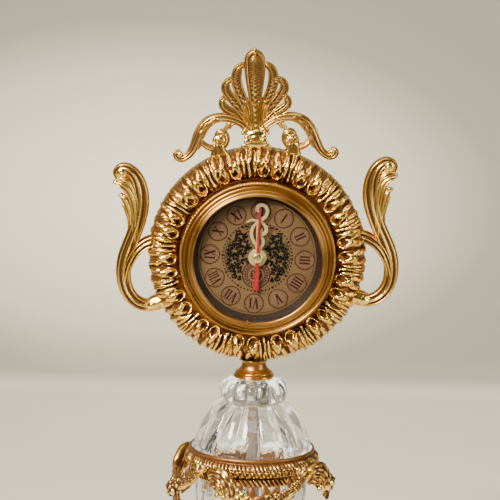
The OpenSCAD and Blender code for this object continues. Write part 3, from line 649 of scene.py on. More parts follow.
def calyx():
    """Cup of nine leaves whose tips stand up round the crystal's foot."""
    a = np.linspace(0, TAU, 432, endpoint=False)
    u = lobes(a, 9)
    tip = 77.5 - 3.4 * abs(u) ** 2.2
    vein = 0.5 * hump(u, 0.1) - 0.35 * hump(abs(u) - 0.36, 0.1)
    outside = curve([(ROD_HOLE_R, 58), (11, 58), (11.6, 59), (12.6, 61), (13.6, 64), (15.2, 68), (17.8, 72),
                     (21, 76.8)], 6)
    inside = curve([(20.4, 77.3), (17.2, 73), (14.2, 69.2), (12.8, 66), (12.6, 65.5), (ROD_HOLE_R, 65.5)], 5)
    rows = []
    for part, share in ((outside, 0.62), (inside, 0)):
        for r, z in part:
            t = np.clip((z - 59) / 18, 0, 1)
            rise = (1 - abs(u) ** 3) * 1.3 * t + vein + 0.3 * np.cos(u * 14) * t
            rise = rise * soft(z, 59, 63) * (r > 12.5)
            rows.append(hoop(a, r + share * rise, np.where(z > 68, 68 + (z - 68) * (tip - 68) / 9.5, z)))
    mesh = Mesh()
    mesh.grid(np.array(rows), place=stand, flip=True)
    mesh.object("leaf_cup", "stand", BRASS, ("calyx",), (14, 0.45))


def neck():
    """Turned collar between the upper crystal and the wreath."""
    low, high = (corner[2] for corner in span("neck_collar"))
    profile = [(r, low + z) for r, z in (
        (ROD_HOLE_R, 0), (12.4, 0), (13.3, 0.5), (13.5, 1.2), (13.2, 1.9), (12.2, 2.5), (12.5, 3.1),
        (12.2, 3.7), (10.8, 4.6), (9.4, 5.6), (8.7, 6.8), (8.2, 8.2), (8.0, 10), (8.4, 11),
    )] + [(8.6, high + 0.2), (7.0, high + 0.1), (ROD_HOLE_R, high - 0.3)]
    revolve("neck", profile, "neck_collar", 128, material=NECK_BRASS)


plinth()
leaf_band()
stem()
calyx()
neck()

# ---------- gallery ring ----------


def gallery_ring():
    """Fillet, leaf moulding and hatched band, and the thin bed of putty that the upper crystal stands in."""
    low, high = span("garland_ring")
    foot, top = low[2], high[2]
    seat = span("upper_crystal")[1][0] + 0.6

    def relief(a, r, z):
        face = between(z, 148.2, 149.2, 156.6, 157.6) * (r > 40.5)
        ticks = (0.75 * abs(np.cos(a * 46 + 0.25 * (z - 155))) ** 0.8 - 0.55) * soft(z, 153.2, 153.8)
        curl = (1.05 * abs(np.cos(a * 29 - 0.55 * (z - 150))) ** 0.7 - 0.75) * (1 - soft(z, 152.9, 153.5))
        hatch = 0.36 * np.sin(a * 80 + z * 1.5) * between(z, 142, 142.6, 146.6, 147.2) * (r > 38)
        return (ticks + curl + 0.2 * np.cos(a * 116 + z) - 0.5 * hump(z - 153.3, 0.3)) * face + hatch

    revolve("gallery_ring", [
        (37.8, 150.6), (37.8, foot + 0.1), (38, foot), (38.9, foot), (39.4, foot + 0.5), (39.5, foot + 2.6),
        (39.4, 146.6), (38.4, 147.3), (38.6, 148.4), (42.4, 148.9), (43.8, 150.4), (44.4, 152.2),
        (44.5, 153.6), (44, 155), (42.8, 156.3), (41.4, 157.1), (41, 157.9), (41.5, 158.6), (41.7, 159.4),
        (41.4, 160.1), (41, top), (seat, top), (seat, top - 0.6), (seat, 154), (seat, 153.6), (34.6, 153.5),
        (34.6, 151), (37.4, 150.8),
    ], "garland_ring", 928, relief, RING_BRASS, 7)

    a = np.linspace(0, TAU, 240, endpoint=False)
    section = [(0.1, 154), (0.1, top - 0.5), (0.22, top - 0.35), (0.34, top - 0.5), (0.34, 154)]
    putty = Mesh()
    rows = [hoop(a, seat - inset + 0.03 * np.sin(31 * a + z), z) for inset, z in section]
    putty.grid(np.array(rows), True, place=stand, flip=True)
    putty.object("seat_putty", "stand", PUTTY, ())


gallery_ring()

# ---------- crystals ----------


def fluted(name, node, outer, inner, depth, inner_depth, foot=0.0):
    """A thick glass vessel along [r, z, share] points, where share is how deep its flutes are there.

    The flutes bulge out between narrow grooves. Crossed cuts run round the outside just above foot.
    """
    a = np.linspace(0, TAU, FLUTES * 24, endpoint=False)
    groove = -(abs(lobes(a, FLUTES, FLUTE_PHASE)) ** 2.2)
    rows = []
    for profile, amount in ((outer, depth), (inner, inner_depth)):
        for r, z, share in curve(profile, 6):
            lean = 1.1 * (z - foot)
            cut = 0.42 * np.cos(FLUTES * 4 * a + lean) * np.cos(FLUTES * 4 * a - lean)
            cut = cut * (1 - soft(z, foot + 5, foot + 8)) * (share >= 0.6)
            rows.append(hoop(a, r * (1 + amount * share * groove) - abs(cut), z))
    mesh = Mesh()
    mesh.grid(np.array(rows), True, place=stand, flip=True)
    mesh.object(name, "stand", CRYSTAL, (node,))


def upper_crystal():
    low, high = span("upper_crystal")
    foot, top, wide, eye = low[2], high[2], high[0], HEAD_Z
    outer = [(wide - d, z, share) for d, z, share in (
        (5.2, foot, 0), (0.6, foot, 0.2), (0, foot + 1, 0.6), (0, foot + 5.4, 1), (0.5, eye - 127.4, 1),
        (1.6, eye - 124, 1), (3.9, eye - 117.5, 1), (7.2, eye - 110.8, 1), (11.6, eye - 104.4, 1),
        (15.6, eye - 100.6, 1), (18.4, eye - 98.9, 1), (18.9, eye - 98.2, 1), (17.7, eye - 96.6, 1.3),
        (17, eye - 93.4, 1.7), (17, eye - 90.4, 1.8), (18.2, eye - 87, 1.6), (20.6, eye - 84.4, 1.2),
    )] + [(15.6, eye - 83.2, 0.4), (14, top, 0), (8, top, 0), (3.6, top, 0)]
    inner = [(3.5, top - 1, 0)] + [(r, eye - d, share) for r, d, share in (
        (3.6, 85.4, 0), (4.6, 88, 0.6), (5.6, 91.5, 1), (7.4, 95, 1), (10.4, 98.6, 1), (14, 103, 1),
        (19, 108.6, 1), (25, 114.8, 1), (29.6, 121.6, 1), (32.6, 128, 1), (33.8, 133, 0.7),
    )] + [(34, foot + 0.4, 0)]
    fluted("upper_crystal_fluted", "upper_crystal", outer, inner, 0.052, 0.034, foot)


def lower_crystal():
    low, high = span("lower_crystal")
    foot, top = low[2], high[2]
    fluted("lower_crystal_fluted", "lower_crystal", [
        (3.6, foot, 0), (9.6, foot, 0), (11.4, foot, 0.3), (12.6, 69.5, 1), (15.5, 74.5, 1), (20.5, 82, 1),
        (26.5, 92, 1), (31.8, 103, 1), (35.3, 115, 1), (37, 128, 1), (37.4, 140, 1), (37.3, 146, 0.7),
        (37.2, top - 0.4, 0.2), (37, top, 0), (33, top, 0),
    ], [
        (32.6, top - 0.5, 0), (32.4, 146, 0.6), (32.2, 128, 1), (30.5, 116, 1), (26.8, 104, 1), (21.5, 93, 1),
        (14, 84, 0.6), (6, 80, 0), (3.6, 79.6, 0), (3.55, 74, 0), (3.55, 68, 0),
    ], 0.05, 0.02)


upper_crystal()
lower_crystal()

# ---------- wreath ----------


def wreath():
    """Fourteen repeats round the ring: a dart, and beside it looped drops with strands out over the rim."""
    repeats = 14
    around = repeats * 104
    a = np.linspace(0, TAU, around, endpoint=False)[None]
    rim = WREATH_R - 0.1
    outline = curve([(rim - 0.9, -11.9), (rim - 0.5, -7), (rim - 0.1, -2.6), (rim - 0.2, 0.6),
                     (rim - 0.9, 3.4), (rim - 2.2, 6.0), (rim - 4.3, 8.2), (rim - 6.8, 9.6), (62.0, 10.1),
                     (58.6, 9.9), (55.8, 8.9), (53.9, 7.2), (52.9, 4.9), (52.4, 2.4),
                     (51.9, 0.6)], 8)
    inner = [(51.4, 3.6), (50.2, 4.9), (47.2, 5.0), (47.0, 4.6), (47.0, -2), (47.0, -11.9)]
    p = np.vstack([outline, inner])
    r = p[:, 0][:, None]
    # how far out along the face: the radius, and over the rim the length of the outline
    walk = np.concatenate([[0], np.cumsum(np.linalg.norm(np.diff(p, axis=0), axis=1))])
    corner = int(np.argmin(abs(p[:, 0] - 67) + 99 * (p[:, 1] < 5)))
    over_rim = 67 - 52.6 + 0.8 * (walk[corner] - walk)
    y = np.where(walk < walk[corner], over_rim, p[:, 0] - 52.6)[:, None] + 0 * a
    y[len(outline):] = -1
    bend = 0.45 * np.sin(9 * a + 1) + 0.3 * np.sin(23 * a + 4 - 0.12 * y)
    repeat = (np.degrees(a) - 90 - 6.4 + bend) * repeats / 360
    cell = np.floor(repeat + 0.5).astype(int) % repeats
    s = (repeat + 0.5 - np.floor(repeat + 0.5) - 0.5) * 360 / repeats  # degrees from the dart
    mm = math.pi / 180 * r  # millimetres to the degree
    rng = np.random.default_rng(5)
    wob = rng.uniform(-1, 1, (repeats, 2, 9))
    low = -1.7
    rise = low + 0 * y

    def add(x, half, height, power=2.0):
        """A rounded ridge of that half width laid over what's there."""
        nonlocal rise
        u = np.clip(abs(x) / np.maximum(half, 0.05), 0, 1)
        rise = np.maximum(rise, (height - low) * (1 - u**power) ** 0.6 + low)

    fan = 0.55 + 0.45 * r / 57  # the strands spread a little less than the rays do
    dart = s * mm / fan + 0.35 * np.sin(y * 0.4 + cell * 2.0)
    dart_height = (0.7 + 0.5 * soft(y, 9, 14)) * soft(y, 1, 3) + low * (1 - soft(y, 0.2, 1.4))
    add(dart, 0.95 + 1.25 * soft(y, 9.5, 14), dart_height, 3)
    rise = rise - 0.8 * hump(dart, 0.5) * soft(y, 10.5, 13.5)
    add(np.hypot(dart, (y - 2.4) * 0.75), 1.55 + 0 * y, 1.4 + 0 * y)
    for k, side in enumerate((-1, 1)):
        w = [wob[cell, k, i] for i in range(9)]
        c = side * (8.15 + 0.35 * w[0])
        x = ((s - c) * mm) * side  # towards the partner lobe is positive
        yy = y - (6.3 + 0.5 * w[1])
        xs = x / fan
        # the tongue of the leaf, from the loop out over the rim, with shallow folds
        swing = 0.6 * np.sin(0.22 * yy + 2.2 * w[2]) + 0.25
        body = abs(xs + swing - 0.2) / (4.35 + 0.4 * soft(yy, 3, 12))
        sheet = low + 0.75 * np.sqrt(np.clip(1 - body**3, 0, 1)) * soft(yy, -1, 1.5)
        rise = np.maximum(rise, sheet)
        folds = ((-2.1 - 0.4 * w[3], 2.15, 1.3 + 0.35 * w[4], 1.0),
                 (2.15 + 0.4 * w[5], 2.2, 1.05 + 0.35 * w[7], 3.6))
        for q, (off, half, tall, y0) in enumerate(folds):
            path = off * (1 + 0.04 * np.maximum(yy, 0)) - swing
            tip = 1 - 0.3 * soft(yy, 8, 12) * (q == 1)
            height = tall + (low - tall) * (1 - soft(yy, y0 - 1.5, y0 + 0.8))
            add(xs - path, half * (0.65 + 0.35 * soft(yy, y0, y0 + 4)) * tip, height, 2.2)
        # a plump spindle beside the dart, with a leaf tip folded over further out
        spindle = np.sqrt(np.clip(np.sin(math.pi * np.clip((yy + 2.2) / 13.0, 0, 1)), 0, 1))
        add(xs + 5.25 + 0.05 * yy + 0.3 * w[5], (1.75 + 0.2 * w[3]) * spindle, 1.5 + 0.3 * w[7])
        # oval ring of the rolled end
        e = np.hypot(x / 4.15, yy / np.where(yy > 0, 8.2, 5.5))
        rise = np.where((e < 1.0) & (yy < 4.5), np.minimum(rise, low + 0.5), rise)
        rise = np.maximum(rise, low + (2.8 - 2.2 * soft(yy, -1.5, 2.5)) * dome((e - 0.89) / 0.14))
        # fat crescent inside it, high at its outer end and on one side, round a drop-shaped hole
        tilt = np.where(side * np.sign(w[4] + 0.35) > 0, 1.0, -1.0)
        bx, by = x + 0.5 * tilt, yy - 1.9
        blob = np.hypot(bx / (3.6 + 0.2 * w[5] - 0.12 * np.clip(by, 0, 9)), by / (6.5 + 0.5 * w[3]))
        rise = np.maximum(rise, low + 4.4 * dome(blob))
        hx, hy = x - 0.55 * tilt, yy + 1.6
        hole = np.hypot(hx / (1.6 - 0.14 * np.clip(hy, 0, 4)), hy / np.where(hy > 0, 3.3, 1.9))
        rise = rise - 3.9 * np.exp(-(hole**3.4))
    rise = rise + 0.14 * np.sin(a * 97 + 2 * np.sin(y)) * np.sin(y * 1.9 + a * 31)
    rise = rise + 0.09 * np.sin(a * 151 - y * 1.3)
    rise = rise * soft(y, -0.5, 0.3) * (1 - 0.5 * soft(y, 19, 23)) * (1 - soft(y, 24, 29))
    rise = np.minimum(rise, 2.4 - 1.2 * soft(y, 15, 19))
    mesh = Mesh()
    mesh.grid(lathe(p, a, rise), flip=True)
    mesh.object("leaf_wreath", "stand", BRASS, ("wreath",), (36, 0.62))


wreath()

# ---------- crest ----------


def channel(deep=0.8, pitch=1.15, beads=0.3, end=1e9, radius=1.0):
    """Relief with a rim at both edges and round the tip, a sunk floor, a middle rib and fine cross beads."""

    def relief(u, s, w):
        v = np.where(s > end, np.hypot(u * w / 2, s - end) / radius, abs(u))
        floor = 1 - soft(v, 0.55, 0.74)
        return (0.4 * hump(v - 0.85, 0.13) - deep * floor + 0.5 * deep * hump(u, 0.13)
                + beads * np.cos(TAU * s / pitch + 3 * v) * hump(v - 0.36, 0.2)) * np.minimum(1, w / 5)

    return relief


def fluting(count, deep, twist=0.0):
    """Relief with rounded flutes along the strip, which wind across it by twist."""

    def relief(u, s, w):
        return deep * np.cos(count * math.pi * u + twist * s) * np.minimum(1, w / 5)

    return relief


def facing(place, x, y, roll):
    """A placing on the crest's front, rolled in its plane."""
    return in_frame(place, (x, y, 1.6), (0, 0, 1), (0, 1, 0), roll)


def crest():
    """Palmette of a middle leaf, petals, scrolled arms and a block at its foot."""
    mesh = Mesh()
    base = moved(turned(head, CREST_TURN), 0, WREATH_R)
    flip = moved(turned(head, CREST_TURN, True), 0, WREATH_R)
    # middle leaf
    band(mesh, [[0, 16, 6.0], [0, 24, 7.0], [0, 32, 8.4], [0, 40, 10.8], [0, 47, 12.9], [0, 53, 14.0],
                [0, 58, 13.8], [0, 61.0, 12.6], [0, 63.2, 9.8], [0, 64.6, 6.4], [0, 65.2, 3.0]],
         5.8, channel(1.35, 1.05, 0.36, 42.0, 7.2), 10, 0.5, base, around=84, square=3.4)
    # solid root behind the strands
    band(mesh, [[0, 8.6, 13.6], [0, 13, 14.4], [0, 18, 18.4], [0, 23, 20.4], [0, 28, 18.6], [0, 33, 10.6]],
         4.0, fluting(6, 0.4), 8, -0.3, base, around=72, square=3.2)
    petals = [
        [[2.8, 18, 4.4], [5.2, 25, 5.4], [8.0, 32.4, 6.4], [10.9, 39.4, 7.0], [12.2, 46.0, 7.0],
         [11.2, 51.6, 6.2], [8.8, 54.6, 4.8], [6.6, 55.2, 3.6]],
        [[3.4, 15.6, 4.4], [7.4, 22.6, 5.2], [12.4, 29.2, 6.2], [16.8, 34.8, 6.6], [19.2, 39.4, 6.3],
         [18.5, 43.2, 5.4], [16.0, 45.2, 4.4], [13.8, 45.2, 3.2]],
        [[3.8, 13.6, 4.2], [8.6, 18.8, 5.0], [14.0, 22.8, 5.8], [18.6, 25.8, 6.2], [21.2, 28.8, 5.6],
         [21.3, 32.0, 4.6], [19.4, 33.6, 3.6], [17.6, 33.4, 2.6]],
    ]
    for place in (base, flip):
        for k, petal in enumerate(petals):
            band(mesh, petal, 4.9, channel(1.15, 1.1, 0.34), 9, -0.15 * k, place, around=64, square=3.2)
        # long arm with a leaf laid on it, ending in a curl
        band(mesh, [[3.8, 11.8, 5.6], [9.8, 16.8, 5.8], [17, 20.0, 5.8], [25, 20.4, 6.4], [31.6, 17.2, 7.6],
                    [36.2, 11.0, 8.0], [39.4, 4.0, 6.8], [43.0, -2.6, 5.4], [47.6, -6.0, 5.0],
                    [51.0, -5.4, 5.2], [52.0, -3.2, 4.8],
                    [50.9, -1.6, 3.4]],
             5.4, fluting(3, 0.42, 0.05), 9, 0, place, around=48, square=2.6)
        ball(mesh, (49.9, -3.2, 1.2), (2.3, 2.3, 2.4), place)
        for x, y, tilt in ((22.5, 19.8, -1.75), (28.4, 17.9, -2.15), (33.2, 13.6, -2.6), (36.2, 7.6, -2.95)):
            leaf(mesh, facing(place, x, y, tilt), 7.6, 4.6, 3, 2, 0.25, 0.7, 0.3)
        # inner scroll with its eye
        band(mesh, [[37.2, 9.0, 2.6], [36.0, 5.4, 3.4], [32.6, 1.8, 4.0], [27.6, 0.2, 4.8], [22.4, 1.4, 5.4],
                    [19.6, 5.2, 5.4], [20.0, 9.4, 4.6], [23.0, 11.2, 3.6], [25.6, 9.6, 2.6],
                    [25.7, 7.2, 2.0]], 5.4, fluting(2, 0.4), 9, 0, place,
             around=44, square=2.6)
        ball(mesh, (23.6, 4.9, 0.4), (4.9, 4.9, 3.0), place, 16, 28)
        rose(mesh, facing(place, 23.6, 4.9, 0.4), 4.7, 4, 0.5)
        leaf(mesh, facing(place, 28.2, 0.4, 0.5), 5.4, 4.4, 3, 2, 0.25, 0.8, 0.3)
        # link from the root of the arm to the scroll, and the lug on the wreath
        band(mesh, [[13.0, 19.2, 3.0], [16.4, 17.4, 3.2], [19.0, 13.8, 3.0], [20.6, 10.6, 2.6]], 4.2,
             fluting(2, 0.3), 7, 0, place, around=32)
        band(mesh, [[7.0, 11.0, 3.2], [8.2, 14.6, 3.0], [11.4, 16.8, 2.6], [15.0, 16.2, 2.2],
                    [16.8, 13.4, 1.6]], 4.0, fluting(2, 0.3), 7, 0.4, place, around=32)
        band(mesh, [[24.6, 1.6, 8.4], [24.4, -1.0, 9.2], [24.0, -3.4, 12.0]], 6.6, fluting(3, 0.3), 6, 0,
             place, around=48, square=3.4)
        # roots that gather into the neck
        for x0, x1, w in ((1.5, 2.6, 2.6), (4.3, 6.2, 2.8)):
            band(mesh, [[x0 * 1.9, 10.4, w], [x0 * 1.25, 14.2, w * 0.9], [x0, 19.4, w * 0.9],
                        [x0 * 1.1, 25, w * 0.9], [x1, 31, 1.6]], 4.6,
                 None, 7, 1.3, place, around=24)
    # neck block: plinth bar, facetted band with a diamond, and a swag moulding over it
    band(mesh, [[-8.2, 1.4, 3.0], [8.2, 1.4, 3.0]], 7.6, None, 6, 0.4, base, around=32, square=5)
    band(mesh, [[0, 2.6, 15.4], [0, 5.0, 15.0], [0, 7.6, 14.2], [0, 9.6, 13.6]], 7.0, fluting(1, 0.3), 6, 0,
         base, around=56, square=4)
    ball(mesh, (0, 6.4, 3.1), (3.6, 2.9, 1.2), base, 16, 24, 0.2)
    for side in (-1, 1):
        ball(mesh, (5.4 * side, 5.2, 3.1), (2.6, 2.0, 1.0), base, 10, 12)
        ball(mesh, (5.6 * side, 8.0, 3.1), (2.2, 1.4, 1.0), base, 10, 12)
    mesh.object("palmette_crest", "stand", OLD_BRASS, ("crest",), (10, 0.36))


crest()

# ---------- handles ----------


def stem_grooves(u, s, w):
    """Rounded rim on the wreath's side, then two deep flutes with a beaded rib between them."""
    ridges = ((0.6, -0.80, 0.22), (-2.0, -0.34, 0.25), (0.6, 0.02, 0.12), (-1.6, 0.38, 0.18),
              (0.4, 0.72, 0.16))
    rise = sum(height * hump(u + at, width) for height, at, width in ridges)
    beads = 0.12 * np.cos(s * TAU / 1.3) * hump(u + 0.02, 0.14)
    return np.minimum(1, w / 8) * soft(s, 2, 12) * (rise + beads)


def handle(name, node, place):
    """Scrolled handle: a grooved stem, its volute, two lobes beside it and a branch to the wreath."""
    mesh = Mesh()
    band(mesh, [[65.6, -30.6, 8.2], [68.6, -31.9, 8.4], [72.6, -32.4, 8.2], [77.6, -31.2, 8.6],
                [82.4, -27.8, 9.0], [86.2, -22.0, 9.4], [88.0, -14.6, 9.8], [88.0, -6.8, 10.2],
                [86.4, 1.2, 10.4], [83.4, 9.4, 10.0], [80.2, 17.2, 10.0], [77.6, 25.2, 10.6],
                [76.0, 33.4, 11.4], [75.6, 41.4, 11.2], [76.6, 49.0, 10.0], [79.4, 55.6, 8.6],
                [83.8, 59.8, 7.2], [88.4, 60.4, 5.6], [91.4, 57.6, 4.2], [90.8, 54.2, 3.2],
                [87.8, 53.6, 2.4]],
         9.6, stem_grooves, 10, 0, place, around=72, square=2.6)
    ball(mesh, (87.6, 57.2, 1.6), (3.7, 3.7, 3.0), place, dent=0.30)
    ball(mesh, (87.4, 57.0, 3.4), (1.9, 1.5, 1.2), place)
    # second lobe: ribs that curl out below the volute
    band(mesh, [[80.0, 6, 3.0], [80.0, 16, 4.8], [79.4, 26, 6.2], [79.8, 35.0, 7.4], [81.6, 42.6, 7.8],
                [84.8, 47.6, 7.2], [88.8, 50.0, 5.6], [92.0, 51.0, 3.2]],
         7.4, fluting(3, 0.5), 9, 0.5, place, around=56, square=2.5)
    band(mesh, [[78.6, 36, 3.6], [80.2, 44.4, 5.0], [83.4, 50.6, 5.6], [87.4, 53.6, 4.6], [90.6, 53.2, 3.0]],
         6.6, fluting(2, 0.5), 8, 0.8, place, around=44, square=2.5)
    # third lobe with two small tips
    band(mesh, [[83.4, 8, 2.6], [82.8, 18, 3.8], [82.6, 27, 5.0], [83.8, 34.4, 5.8], [86.2, 39.8, 4.8],
                [88.6, 42.0, 2.6]], 6.2, fluting(2, 0.45), 8, 0.6, place, around=44)
    ball(mesh, (86.6, 39.6, 1.0), (1.8, 1.8, 1.7), place)
    for x, y, r in ((91.2, 50.8, 2.5), (88.2, 41.8, 2.2), (86.4, 35.6, 1.9), (85.0, 30.2, 1.5)):
        ball(mesh, (x, y, 0.6), (r, r * 0.85, r), place, dent=0.2)
    band(mesh, [[82.6, 16, 2.0], [82.9, 23, 3.0], [84.0, 28.6, 3.6], [86.2, 34.6, 3.0], [87.6, 36.4, 1.8]],
         5.4, fluting(2, 0.4), 8, 0.9, place, around=32)
    # branch up to the wreath, with its own flutes, and the little knuckle at the fork
    band(mesh, [[87.2, -18, 3.0], [86.6, -11.4, 5.0], [84.6, -4.4, 6.2], [81.4, 1.8, 7.0], [77.4, 6.4, 7.6],
                [72.6, 9.6, 8.6], [68.6, 10.8, 9.4]],
         7.8, fluting(3, 1.0), 9, 0.6, place, around=60, square=2.5)
    ball(mesh, (68.4, -31.2, 1.0), (5.6, 4.6, 5.2), place, 16, 24)
    # cuff where the stem leaves the wreath
    band(mesh, [[63.8, -29.6, 11.0], [66.4, -30.4, 10.6], [69.6, -31.4, 9.8], [71.0, -31.8, 8.4]], 11.4,
         fluting(2, 0.3), 6, 0.2, place, around=48, square=2.3)
    band(mesh, [[70.2, -35.0, 2.2], [71.2, -31.8, 2.6], [72.0, -28.6, 2.2]], 10.4, None, 6, 0, place,
         around=24, square=2.4)
    mesh.object(name, "stand", BRASS, (node,), (14, 0.5))


handle("scroll_handle_right", "handle_right", turned(head, HANDLE_TURN))
handle("scroll_handle_left", "handle_left", turned(head, HANDLE_TURN, True))

# ---------- garlands ----------


def festoon(name, node, start):
    """One swag between two hooks: rolled acanthus, berries, a rose in its leaves, blossoms up to a bow."""
    mesh = Mesh()
    first, sweep = 5.8, 78.4  # degrees from one hook to the start of the swag, and along it

    def outward(t):
        angle = math.radians(start + first + sweep * t)
        return np.array([math.cos(angle), math.sin(angle), 0])

    def at(t, r, z):
        return r * outward(t) + (0, 0, z)

    def spot(t, z, r=50.0, roll=0.0, tilt=0.15):
        """Placing with z outwards and y up, rolled clockwise as seen from outside."""
        return in_frame(stand, at(t, r, z), outward(t) + (0, 0, tilt), (0, 0, 1), roll)

    def ribbon(points, depth, relief, steps=9, around=44, square=2.2):
        """A strip over the swag along [t, z, r, width]."""
        q = curve(points, steps)
        centre = np.array([at(t, r, z) for t, z, r, _ in q])
        out = np.array([outward(t) for t in q[:, 0]])
        side = unit(np.cross(unit(np.gradient(centre, axis=0)), out)) * -1
        width = np.maximum(q[:, 3], 0.5)
        strip(mesh, centre, side, width, np.minimum(depth, width), relief, around, square, stand)

    def corded(u, s, w):
        return 0.45 * np.cos(3 * math.pi * u + s * 0.9)

    def folded(u, s, w):
        fold = np.abs(np.sin(0.46 * s + 1.1 * np.abs(u) + 0.5 * np.sin(2.3 * u))) ** 0.7
        return (0.85 * fold - 0.45 + 0.28 * np.cos(3 * math.pi * u + 0.2 * s)) * np.minimum(1, w / 5)

    # cord of the swag
    ribbon([[0.10, 148, 47.5, 4.0], [0.25, 139.5, 49.6, 4.6], [0.42, 134.6, 50.8, 5.4], [0.60, 134, 51, 5.6],
            [0.76, 137.8, 50.4, 4.8], [0.88, 143.6, 48.8, 4.2], [0.97, 150.4, 47, 3.6]], 4.4, corded, 8, 28)
    # acanthus rolled over from the hook
    ribbon([[-0.05, 148.0, 46.2, 3.6], [-0.03, 150.6, 46.8, 6.0], [0.03, 151.9, 47.8, 7.8],
            [0.105, 150.8, 49.2, 9.0], [0.17, 146.6, 50.6, 9.4], [0.215, 141.6, 51.2, 8.0],
            [0.215, 137.4, 50.8, 5.0]], 5.4, folded, 9, 56, 2.4)
    ribbon([[-0.045, 145.6, 46.2, 3.2], [0.01, 147, 47.2, 5.4], [0.065, 146.2, 48.8, 6.4],
            [0.11, 143.0, 50.2, 5.6], [0.125, 139.2, 50.2, 3.4]], 5.0, folded, 8, 44)
    ribbon([[-0.05, 142.6, 46.4, 2.8], [0.0, 143.2, 47.0, 4.2], [0.05, 141.8, 48.4, 4.6],
            [0.075, 138.8, 48.8, 2.8]], 4.4, folded, 7, 36)
    for t, z, r in ((0.205, 136.4, 2.5), (0.10, 138.4, 2.2), (0.135, 136.4, 2.0), (0.06, 137.4, 1.9)):
        ball(mesh, (0, 0, 0), (r, r, r), spot(t, z, 50.6), 12, 16, 0.2)
    # berries and rounded leaves
    for i, (t, z, r) in enumerate(((0.265, 141.2, 2.9), (0.275, 136.4, 3.1), (0.315, 139.0, 2.6),
                                   (0.325, 134.4, 2.8), (0.365, 136.8, 2.5), (0.375, 132.4, 2.4))):
        ball(mesh, (0, 0, 0), (r, r * 1.1, r * 0.9), spot(t, z, 51.2, 0.4 * i), 14, 20, 0.22)
    for t, z, roll, size in ((0.30, 142.4, 0.5, 6.0), (0.355, 131.6, 2.6, 6.2), (0.41, 138.4, 0.2, 6.6),
                             (0.42, 131.4, 2.9, 6.2)):
        leaf(mesh, spot(t, z, 50.6, roll), size, size * 0.9, 3, 2, 0.25, 1.0, 0.34)
    # rose in a ring of broad leaves
    for k in range(7):
        a = TAU * k / 7 + 0.35
        leaf(mesh, spot(0.575, 134.2, 50.6, a), 11.0 if k % 2 else 12.4, 8.6, 3, 2, 0.18, 0.8, 0.28)
    rose(mesh, spot(0.575, 134.0, 53.0, 0.4, 0.25), 7.2, 5, 0.62, 0.3)
    rose(mesh, spot(0.655, 138.2, 52.4, 0.1, 0.3), 4.2, 4, 0.6, 0.8)
    rose(mesh, spot(0.50, 131.6, 52.0, 0.1), 4.0, 4, 0.6, 0.1)
    # tail of blossoms and beads up to the bow
    for t, z, r in ((0.735, 139.4, 3.3), (0.80, 141.4, 3.0), (0.86, 144.4, 3.2), (0.91, 147.6, 2.9)):
        ball(mesh, (0, 0, 0), (r * 0.9, r * 0.9, r * 0.7), spot(t, z, 49.6), 12, 20)
        rose(mesh, spot(t, z, 50.6, 0.5, 0.2), r * 1.12, 5, 0.6, t * 20)
    for t, z, roll in ((0.755, 135.8, 2.4), (0.78, 144.4, 0.0), (0.835, 138.8, 2.2), (0.845, 148.2, 0.1)):
        leaf(mesh, spot(t, z, 49.4, roll), 5.2, 4.6, 3, 1, 0.2, 0.9, 0.34)
    for t, z, a in ((0.925, 152.8, -0.55), (0.985, 152.6, 0.55)):
        ball(mesh, (0, 0, 0), (3.5, 2.5, 2.4), spot(t, z, 47.6, a), 14, 24, 0.3)
    ball(mesh, (0, 0, 0), (1.9, 2.1, 2.0), spot(0.955, 151.6, 48.8), 12, 16)
    # hook over the ring
    path = curve([(44.2, 149.5), (46.6, 151.5), (47.6, 149.4), (46.6, 146.6), (45.0, 146.4)], 6)
    angle = math.radians(start + 2.5)
    out, level = np.array([math.cos(angle), math.sin(angle), 0]), np.array([-math.sin(angle), math.cos(angle),
        0])
    centre = path[:, :1] * out + path[:, 1:] * np.array([0, 0, 1])
    strip(mesh, centre, np.repeat(level[None], len(path), 0), 4.4, 2.0, None, 20, 2.4, stand)
    mesh.object(name, "stand", GARLAND_BRASS, (node,), (22, 0.5))


for word, turn in (("front", -135), ("right", -45), ("back", 45), ("left", 135)):
    festoon("garland_" + word + "_flowers", "garland_" + word, turn + GARLAND_TURN)

# ---------- bezel ----------


def bezel():
    """Turned bezel: milled outer bead, dark line, broad hollow, raised fillet and inner lip."""
    a = np.linspace(0, TAU, 720, endpoint=False)[None]
    p = curve([(51.4, 5.3), (51.5, 9), (51.5, 12.4), (51.45, 13.6), (50.9, 14.5), (50.2, 14.75), (49.5, 14.4),
               (49.1, 13.8), (48.4, 13.5), (47.7, 13.8), (47.0, 14.7), (46.5, 15.6), (46.1, 16.3),
               (45.5, 16.6), (44.9, 16.5), (44.4, 16.6), (43.9, 17.1), (43.4, 17.5), (42.9, 17.6),
               (42.4, 17.3), (42.2, 16.7), (42.2, 15.5), (43, 15.4), (44.6, 15.4), (44.7, 14), (44.7, 8),
               (49.2, 7.6), (49.3, 5.3)], 5)
    milled = 0.16 * np.cos(a * 150) * hump(p[:, :1] - 50.9, 0.6) * (p[:, 1:] > 12.6)
    mesh = Mesh()
    mesh.grid(lathe(p, a, milled), True, flip=True)
    mesh.object("moulded_bezel", "insert", BEZEL, ("bezel",))


bezel()

# ---------- printed dial ----------

PRINT = [INK, MAROON, RUSSET, TAN]
IN_INK, IN_MAROON, IN_RUSSET, IN_TAN = range(4)


def flat(mesh, points, z, mat, place):
    """A filled shape without holes, fanned from its middle."""
    p = np.asarray(points, float)
    mid = p.mean(0)
    n = len(p)
    verts = np.column_stack([np.vstack([p, mid]), np.full(n + 1, z)])
    area = np.sum(p[:, 0] * np.roll(p[:, 1], -1) - np.roll(p[:, 0], -1) * p[:, 1])
    faces = [(i, (i + 1) % n, n) for i in range(n)]
    mesh.add(place(verts), faces, mat, area < 0)


